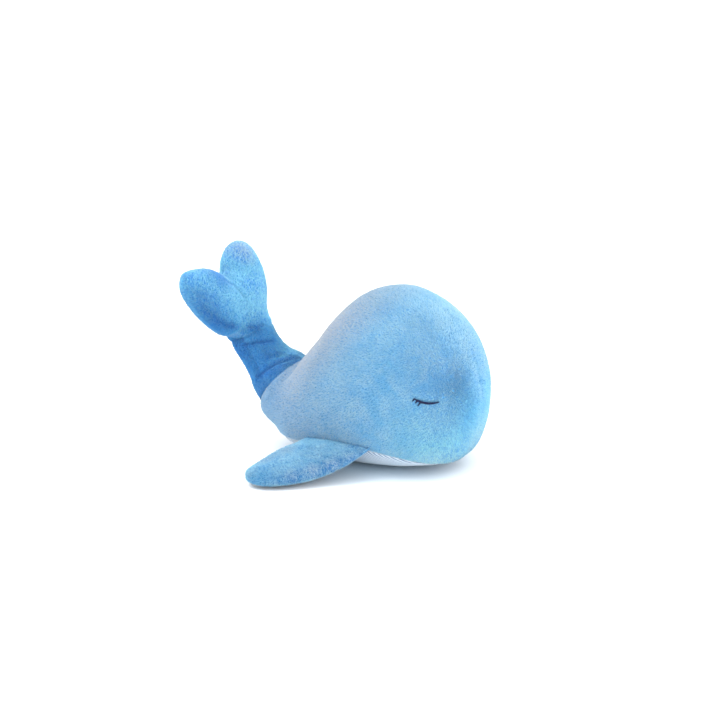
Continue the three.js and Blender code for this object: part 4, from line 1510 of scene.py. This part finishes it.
def add_tail():
    top, under = stem_sheets()
    skin = fluke_skin()
    front = fluke_half(skin, 1, "fluke_front_sheet")
    back = fluke_half(skin, -1, "fluke_back_sheet")
    sheets = top, under, front, back
    for sheet in sheets:
        fill_back(sheet)
    tree = tree_of(sheets)
    # Each fold's last number is how dark its painted crease shade is
    waist = (pixels_on(tree, WAIST_FOLD), 1.1 * MM, 1.7 * MM, 0.9)
    notch = (pixels_on(tree, NOTCH_FOLD), 0.7 * MM, 2.4 * MM, 0.35)
    stem_folds = [(pixels_on(tree, STEM_FOLD), 0.8 * MM, 1.6 * MM, 0.9),
                  (pixels_on(tree, SHOULDER_FOLD), 1.4 * MM, 1.9 * MM, 1.0)]
    up, out = stem_direction(1), 0.5 * stem_front(1)
    stem = (DEEP, "deep_blue_plush", STEM_HOLD, 0)
    fluke = (FLUKE_BLUE, "blue_plush", FLUKE_HOLD, 1)
    for number, (name, sheet, stands_for, kind, nap, folds) in enumerate((
        ("stem_top", top, "tail_panel_top", stem, -up - out, stem_folds),
        ("stem_under", under, "tail_panel_bottom", stem, out - up, stem_folds),
        ("fluke_front", front, "fluke_panel_front", fluke, up - out, [waist, notch]),
        ("fluke_back", back, "fluke_panel_back", fluke, up + out, [waist]),
    )):
        material, slot_name, hold, axis = kind
        from_seam = soften(sheet, boundary_points(sheet), folds,
                           seam_depth=TAIL_SEAM_DEPTH, seam_width=TAIL_SEAM_WIDTH)
        dressed(name, sheet, material, stands_for, hold,
                nap_of(sheet, nap, seed=20 + 10 * number), from_seam, 300 + 50 * number,
                axis=axis, seam_pile=0.9)


# Flippers


FLIPPER_ROWS = 64
FLIPPER_COLUMNS = 56
FLIPPER_FORWARD = np.array([math.cos(FLIPPER_TOE_OUT), -math.sin(FLIPPER_TOE_OUT), 0])
FLIPPER_OUT = np.array([-math.sin(FLIPPER_TOE_OUT), -math.cos(FLIPPER_TOE_OUT), 0])
FLIPPER_SIDES = (("right", 1), ("left", -1))
ROOT_DEPTH = 1.2 * MM
ROOT_REACH = 2.5 * MM
FLIPPER_SEAM_DEPTH = 0.9 * MM
FLIPPER_SEAM_WIDTH = 2.4 * MM
UPPER_FLOOR_GAP = 1.0 * MM
LOWER_FLOOR_GAP = 1.3 * MM
# The cloth gets thinner towards the flipper's sharp edge
EDGE_THICKNESS = 0.25 * MM
MIDDLE_THICKNESS = 0.8 * MM
THICKNESS_EASE = 9 * MM


def place_on_flipper(p):
    """Places in the flipper's frame, forward, up and out, brought to the toy's floor."""
    fall = FLIPPER_ROOT[2] + FLOOR_PRESS - FLIPPER_HALF_THICKNESS
    drop = fall * (1 - (1 - p[..., 2] / FLIPPER_REACH) ** 2)
    place = FLIPPER_ROOT + p[..., 0:1] * FLIPPER_FORWARD + p[..., 2:3] * FLIPPER_OUT
    place[..., 2] += p[..., 1] - drop
    return place


def make_flipper_skin(inset=0.0):
    """The right flipper's skin, smaller all round by an inset that leaves room for the pile."""
    front, rear = [], []
    tip_x, tip_out = FLIPPER_TIP_SHARES
    tip = np.array([tip_x * FLIPPER_ROOT_HALF, 0, tip_out * FLIPPER_REACH])
    tip -= np.array([-0.4, 0, 0.9]) * inset
    for front_x, front_out, rear_x, rear_out, plumpness in FLIPPER_STATION_SHARES:
        half = mix(FLIPPER_ROOT_HALF_THICKNESS, FLIPPER_HALF_THICKNESS, plumpness) - inset
        fore = np.array([front_x * FLIPPER_ROOT_HALF, -half, front_out * FLIPPER_REACH])
        aft = np.array([rear_x * FLIPPER_ROOT_HALF, half, rear_out * FLIPPER_REACH])
        across = (fore - aft) * [1, 0, 1]
        across *= inset / np.linalg.norm(across)
        front.append(fore - across)
        rear.append(aft + across)
    return Skin(front, tip, rear, place_on_flipper)


flipper_skin = make_flipper_skin()
flipper_cloth_skin = make_flipper_skin(0.7 * PILE_ROOM)
flipper_form = tree_of([closed_tube(rings(flipper_skin, 0, 1, 50))])


def on_flippers(pixel):
    """Where a pixel of the photograph falls on the right flipper, and the same place on the left."""
    place = np.array(flipper_form.ray_cast(*photo_ray(pixel))[0])
    return [place, place * [1, -1, 1]]


# Painted light and shade on the flippers: a greyish painted haze along the upper rear edge, a pale
# painted rim of light along the lower front edge, a deeper blue low at the tip, and more painted
# shade in the pile's partings over the middle
FLIPPER_SPOTS = [
    (colour, place, reach * MM, 2 * MM, most)
    for colour, pixel, reach, most in (
        (blue(160, 190, 212), (266, 459), 17, 0.6), (blue(164, 194, 214), (285, 450), 17, 0.65),
        (blue(210, 242, 252), (292, 476), 11, 0.6), (blue(214, 244, 252), (313, 471), 12, 0.8),
        (blue(214, 244, 252), (333, 465), 12, 0.8), (blue(200, 238, 252), (350, 458), 10, 0.6),
        (blue(108, 206, 252), (262, 476), 16, 0.6))
    for place in on_flippers(pixel)]
FLIPPER_BLUE = plush(
    "flipper_blue_plush", blue(176, 232, 252), blue(142, 212, 246), blue(58, 142, 214),
    spots=FLIPPER_SPOTS, parting=1.0, parting_shade_spot=(on_flippers((300, 464))[0], 80 * MM, 0.6))


def flipper_sheets(body_tree):
    """The upper and the lower cloth of the right flipper, ending just under the body's cloth."""
    half = (1 - np.cos(np.linspace(0, math.pi, FLIPPER_COLUMNS))) / 2 * math.pi
    turn = np.concatenate([half[:-1], math.pi + half[:-1]])

    def in_body(along):
        found = []
        for point in flipper_cloth_skin.surface(along, turn):
            spot, out, _, _ = body_tree.find_nearest(point)
            found.append((Vector(point) - spot).dot(out) < -ROOT_DEPTH)
        return np.array(found)

    end = first_share(in_body, np.full(turn.shape, 0.3), np.full(turn.shape, 1.0), 14)
    along = eased(FLIPPER_ROWS, 0.3)[:, None] * end
    points = flipper_cloth_skin.surface(along, turn)
    middle = mix(points.mean(axis=(0, 1)), FLIPPER_ROOT, 0.3)
    last = FLIPPER_COLUMNS - 1
    lower = points[:, :last + 1]
    upper = np.concatenate([points[:, last:], points[:, :1]], axis=1)
    return (sheet_from_grid("flipper_upper_sheet", upper, middle),
            sheet_from_grid("flipper_lower_sheet", lower, middle))


def flipper_hold(side, sign):
    """How a flipper's cloth and filling are held: each is only set where it stands, not passed from
    the body to the flipper.
    """
    start, end = FLIPPER_ROOT - FLIPPER_OUT * 4 * MM, FLIPPER_ROOT + FLIPPER_OUT * 20 * MM
    return blend("body", f"flipper_{side}", start * [1, sign, 1], end * [1, sign, 1])


def add_flippers(body_sheets):
    body_tree = tree_of(body_sheets)
    upper, lower = flipper_sheets(body_tree)

    def off_body(co):
        away = [(Vector(p) - body_tree.find_nearest(p)[0]).length for p in co]
        return np.array(away) > ROOT_REACH

    # The dimple and the root get painted shade; the root's is a dark painted line where the flipper
    # meets the body
    dimple = (pixels_on(tree_of([upper]), FLIPPER_DIMPLE), 1.3 * MM, 1.9 * MM, 0.2)
    seams = boundary_points(upper, off_body)
    root = (boundary_points(upper, lambda co: ~off_body(co)), 0.3 * MM, 2.4 * MM, 0.95)
    edge_line = np.concatenate([flipper_cloth_skin.surface(np.linspace(0, 1, 300), turn)
                                for turn in (0, math.pi)])
    closed = closed_tube(rings(flipper_cloth_skin, 0, 1, 60))
    swell = swelling("flipper", closed, edge_line, LIMB_SWELL_VOXEL, FLIPPER_SWELL_HOLD)
    panels = []
    for label, sheet, folds, gap in (("upper", upper, [dimple, root], UPPER_FLOOR_GAP),
                                     ("lower", lower, [], LOWER_FLOOR_GAP)):
        from_edge = smooth_share(distance_to(edge_line, sheet) / THICKNESS_EASE)
        lift(sheet, swell(sheet))
        from_seam = soften(sheet, seams, folds,
                           seam_depth=FLIPPER_SEAM_DEPTH, seam_width=FLIPPER_SEAM_WIDTH)
        press_on_floor(sheet, gap)
        thickness = mix(EDGE_THICKNESS, MIDDLE_THICKNESS, from_edge)
        panels.append((label, sheet, from_seam, thickness))
    for index, (side, sign) in enumerate(FLIPPER_SIDES):
        for number, (label, sheet, from_seam, thickness) in enumerate(panels):
            if side == "left":
                sheet = mirrored(sheet, f"left_flipper_{label}_sheet")
            stands_for, fall = ("top", -0.5) if label == "upper" else ("bottom", 0.5)
            nap = (FLIPPER_OUT - 0.5 * FLIPPER_FORWARD) * [1, sign, 1] + [0, 0, fall]
            seed = 500 + 40 * index + 20 * number
            dressed(f"{side}_flipper_{label}", sheet, FLIPPER_BLUE,
                    f"flipper_{side}_{stands_for}", flipper_hold(side, sign),
                    nap_of(sheet, nap, seed=seed % 50), from_seam, seed,
                    axis=1, thickness=thickness)


# Eyes


EYE_PROUD = 2.2 * MM
EYE_WIDTH = 3.3 * MM
LASH_WIDTH = 2.5 * MM
STITCH_SEED = 4


def stitch_tree():
    """Satin stitches laid side by side across a line of places."""
    tree, given = geometry_tree("Satin stitches", {
        "Stitch length": 1.7 * MM,
        "Thread radius": 0.32 * MM,
        "Slant": 0.45,
    }, "Thread")
    add = partial(node, tree)
    along = add("FunctionNodeAlignRotationToVector",
                {"Vector": named(tree, "across", "FLOAT_VECTOR")}, axis="X")
    upright = add("FunctionNodeAlignRotationToVector",
                  {"Rotation": along.outputs[0], "Vector": named(tree, "out", "FLOAT_VECTOR")},
                  axis="Z", pivot_axis="X")
    jitter = add("FunctionNodeRandomValue", data_type="FLOAT")
    feed(tree, jitter, {2: -0.14, 3: 0.14, "Seed": given["Seed"]})
    angle = add("ShaderNodeMath", {0: given["Slant"], 1: jitter.outputs[1]}, operation="ADD")
    about = add("FunctionNodeAxisAngleToRotation",
                {"Axis": (0, 0, 1), "Angle": angle.outputs[0]})
    spin = add("FunctionNodeRotateRotation", {0: upright.outputs[0], 1: about.outputs[0]},
               rotation_space="LOCAL")
    half = add("ShaderNodeMath", {0: given["Stitch length"], 1: 0.5}, operation="MULTIPLY")
    length = product(tree, half.outputs[0], named(tree, "reach", "FLOAT"))
    radius = given["Thread radius"]
    stretch = add("ShaderNodeCombineXYZ", {0: length, 1: radius, 2: radius})
    thread = add("GeometryNodeMeshUVSphere", {"Segments": 6, "Rings": 5, "Radius": 1.0})
    place = add("GeometryNodeInstanceOnPoints", {
        "Points": given["Geometry"],
        "Instance": thread.outputs["Mesh"],
        "Rotation": spin.outputs[0],
        "Scale": stretch.outputs[0],
    })
    real = add("GeometryNodeRealizeInstances", {0: place.outputs[0]})
    finish_tree(tree, real.outputs[0], given["Thread"])
    return tree


STITCHES = stitch_tree()


def stitched(line, reach, width):
    """The stitches across one line of places, longest where the reach is 1."""
    spots, out = line[:, :3] + line[:, 3:] * EYE_PROUD, line[:, 3:]
    mesh = bpy.data.meshes.new("stitch_line")
    mesh.from_pydata(spots.tolist(), [], [])
    across = unit(np.cross(out, np.gradient(spots, axis=0)))
    set_attribute(mesh, "across", across, "FLOAT_VECTOR")
    set_attribute(mesh, "out", out, "FLOAT_VECTOR")
    set_attribute(mesh, "reach", reach)
    piece = linked("stitch_line", mesh)
    inputs = {"Stitch length": width, "Seed": STITCH_SEED, "Thread": THREAD}
    made = grown(piece, "stitches", STITCHES, inputs)
    bpy.data.objects.remove(piece)
    return made


def add_eyes(sides):
    for name, (_, (arc, *lashes), _) in sides.items():
        share = np.linspace(-1, 1, len(arc))
        parts = [stitched(arc, np.sqrt(1 - 0.9 * share ** 2), EYE_WIDTH)]
        for lash in lashes:
            parts.append(stitched(lash, np.linspace(1, 0.55, len(lash)), LASH_WIDTH))
        mesh = joined(f"{name}_eye_stitches", parts)
        mesh.shade_smooth()
        mesh.materials.append(THREAD)
        eye = linked(f"{name}_eye_stitches", mesh)
        fasten(eye, ride("body"), f"eye_{name}")


# Filling


FIBRE_LUMP_HEIGHT = 0.8 * MM
FIBRE_LUMP_SIZE = 9 * MM
FILLING_FLOOR_GAP = 2.2 * MM
FILLING_SIDES = 48
BODY_FILLING_INSET = 5.4 * MM
STEM_FILLING_INSET = 8 * MM
FLUKE_FILLING_INSET = 4 * MM
FLUKE_FILLING_START = 9 * MM
FLUKE_FILLING_VOXEL = 3 * MM
FLIPPER_FILLING_INSET = 3.6 * MM


def add_filling(name, mesh, hold, stands_for, inset, place=lambda local: local):
    """A lump of loose fibre that fills a stuffed part, a little inside its cloth."""
    mesh.name = name
    co = places(mesh)
    height = -inset + FIBRE_LUMP_HEIGHT * noise_at(co, FIBRE_LUMP_SIZE, 6)
    move_to(mesh, place(co + normals(mesh) * height[:, None]))
    press_on_floor(mesh, FILLING_FLOOR_GAP)
    mesh.shade_smooth()
    mesh.materials.append(FIBRE)
    fasten(linked(name, mesh), hold, stands_for)


def fluke_filling():
    mesh = fluke_form(FLUKE_FILLING_VOXEL, 6)
    with edited(mesh) as edit:
        everything = edit.verts[:] + edit.edges[:] + edit.faces[:]
        bmesh.ops.bisect_plane(edit, geom=everything, plane_co=(0, 0, FLUKE_FILLING_START),
                               plane_no=(0, 0, 1), clear_inner=True)
        bmesh.ops.holes_fill(edit, edges=[e for e in edit.edges if e.is_boundary])
        bmesh.ops.recalc_face_normals(edit, faces=edit.faces)
    return mesh


def add_fillings():
    body = closed_tube(rings(body_skin, 0, SHOULDER_RING, 60, FILLING_SIDES))
    add_filling("body_wadding", body, ride("body"), "body_filling", BODY_FILLING_INSET)
    stem = closed_tube(rings(stem_skin, 0.36, 0.83, 30, FILLING_SIDES))
    add_filling("stem_wadding", stem, STEM_HOLD, "tail_filling", STEM_FILLING_INSET)
    add_filling("fluke_wadding", fluke_filling(), FLUKE_HOLD, "fluke_filling",
                FLUKE_FILLING_INSET, place_on_fluke)
    for side, sign in FLIPPER_SIDES:
        points = rings(flipper_skin, 0.03, 0.62, 30, FILLING_SIDES) * [1, sign, 1]
        add_filling(f"{side}_flipper_wadding", closed_tube(points), flipper_hold(side, sign),
                    f"flipper_{side}_filling", FLIPPER_FILLING_INSET)


# Floor and light


FLOOR_HALF = 4000 * MM
CARD_PLACE = np.array([150, -150, 12]) * MM
CARD_AIM = np.array([80, -20, 30]) * MM
CARD_SIZE = 160 * MM


def add_floor():
    """A plain white floor with a faint painted blue bounce light from the toy close round it."""
    mesh = bpy.data.meshes.new("studio_floor")
    corners = [(x * FLOOR_HALF, y * FLOOR_HALF, 0) for x, y in ((-1, -1), (1, -1), (1, 1), (-1, 1))]
    mesh.from_pydata(corners, [], [(0, 1, 2, 3)])
    material, tree, shader = new_material("white_floor")
    place = object_places(tree)
    tone = noise_in(tree, place, Scale=3.0)
    away = node(tree, "ShaderNodeVectorMath", {0: place}, operation="LENGTH")
    # Painted blue bounce light from the toy, which shows only where the floor lies in its shadow
    near = ranged(tree, away.outputs["Value"], 40 * MM, 120 * MM, 1, 0)
    colour = mixed(tree, tone, (0.86, 0.865, 0.87, 1), (0.89, 0.89, 0.89, 1))
    colour = mixed(tree, near, colour, (0.66, 0.80, 0.90, 1))
    feed(tree, shader, {"Base Color": colour, "Roughness": 0.8})
    mesh.materials.append(material)
    linked("studio_floor", mesh)


def add_light(name, kind, power, colour):
    data = bpy.data.lights.new(name, kind)
    data.energy = power * STUDIO_GAIN
    data.color = colour
    return linked(name, data)


def add_sun(name, way, power, spread, colour):
    sun = add_light(name, "SUN", power, colour)
    sun.data.angle = math.radians(spread)
    sun.rotation_mode = "QUATERNION"
    sun.rotation_quaternion = Vector(way).to_track_quat("-Z", "Y")


def add_card():
    """A low white card in front of the whale sends light up under its chin."""
    card = add_light("low_card", "AREA", 0.05, (0.9, 0.96, 1.0))
    card.data.size = CARD_SIZE
    card.location = CARD_PLACE
    way = Vector(CARD_AIM) - Vector(CARD_PLACE)
    card.rotation_euler = way.to_track_quat("-Z", "Y").to_euler()
    card.visible_camera = False


def add_studio():
    """White light from all around, two soft suns, the low card and the floor."""
    add_card()
    world = bpy.data.worlds.new("studio_white")
    world.use_nodes = True
    background = world.node_tree.nodes["Background"]
    background.inputs["Color"].default_value = (1, 1, 1, 1)
    background.inputs["Strength"].default_value = 1.27 * STUDIO_GAIN
    bpy.context.scene.world = world
    bpy.context.scene.view_settings.view_transform = "Standard"
    down = Vector((0, 0, -1))
    add_sun("soft_key", VIEW_RIGHT * 0.6 + down * 1.2 - TO_CAMERA * 0.2, 1.0, 40, (1, 0.99, 0.97))
    add_sun("right_fill", -VIEW_RIGHT + down * 0.6 - TO_CAMERA * 0.4, 1.1, 70, (1, 1, 1))
    add_floor()


def silk_thread():
    material, tree, shader = new_material("navy_thread")
    grain = noise_in(tree, object_places(tree), Scale=1800.0, Detail=2.0)
    feed(tree, shader, {
        "Base Color": mixed(tree, grain, blue(4, 14, 44), blue(14, 34, 78)),
        "Roughness": ranged(tree, grain, 0.3, 0.7, 0.35, 0.55),
        "Specular IOR Level": 0.2,
    })
    return material


def ribbed_cloth():
    """White cloth in a bluish grey that is partly painted shade under the body, with random
    bluish-grey blotches and painted blue shade between its ribs.
    """
    material, tree, shader = new_material("white_ribbed_cloth")
    place = object_places(tree)
    fuzz = noise_in(tree, place, Scale=900.0, Detail=3.0)
    blotch = noise_in(tree, place, Scale=30.0, Detail=2.0)
    between = ranged(tree, attribute(tree, "rise"), 0.05, 0.6, 1, 0)
    # A bluish-grey tone, partly painted shade where the belly lies under the body
    colour = mixed(tree, fuzz, blue(184, 202, 218), blue(224, 234, 242))
    colour = mixed(tree, ranged(tree, blotch, 0.4, 0.7, 0, 0.25), colour, blue(170, 190, 210))
    feed(tree, shader, {
        # Painted blue shade between the ribs
        "Base Color": mixed(tree, between, colour, blue(46, 84, 132)),
        "Normal": bump(tree, fuzz, 0.5, 0.2 * MM),
        "Roughness": 0.85,
        "Sheen Weight": 0.2,
    })
    return material


def loose_fibre():
    material, tree, shader = new_material("loose_fibre")
    tangle = noise_in(tree, object_places(tree), Scale=260.0, Detail=5.0, Distortion=2.0)
    feed(tree, shader, {
        "Base Color": mixed(tree, tangle, blue(226, 228, 228), blue(252, 252, 250)),
        "Normal": bump(tree, tangle, 0.8, 0.6 * MM),
        "Roughness": 0.95,
    })
    return material


RIBBED = ribbed_cloth()
THREAD = silk_thread()
FIBRE = loose_fibre()

body_swell = body_swelling()
sides = add_sides(body_swell)
belly = add_belly(body_swell)
add_tail()
add_flippers([sides["right"][0], belly])
add_eyes(sides)
add_fillings()
add_studio()


def numbers(box):
    return [[float(value) for value in corner] for corner in box]
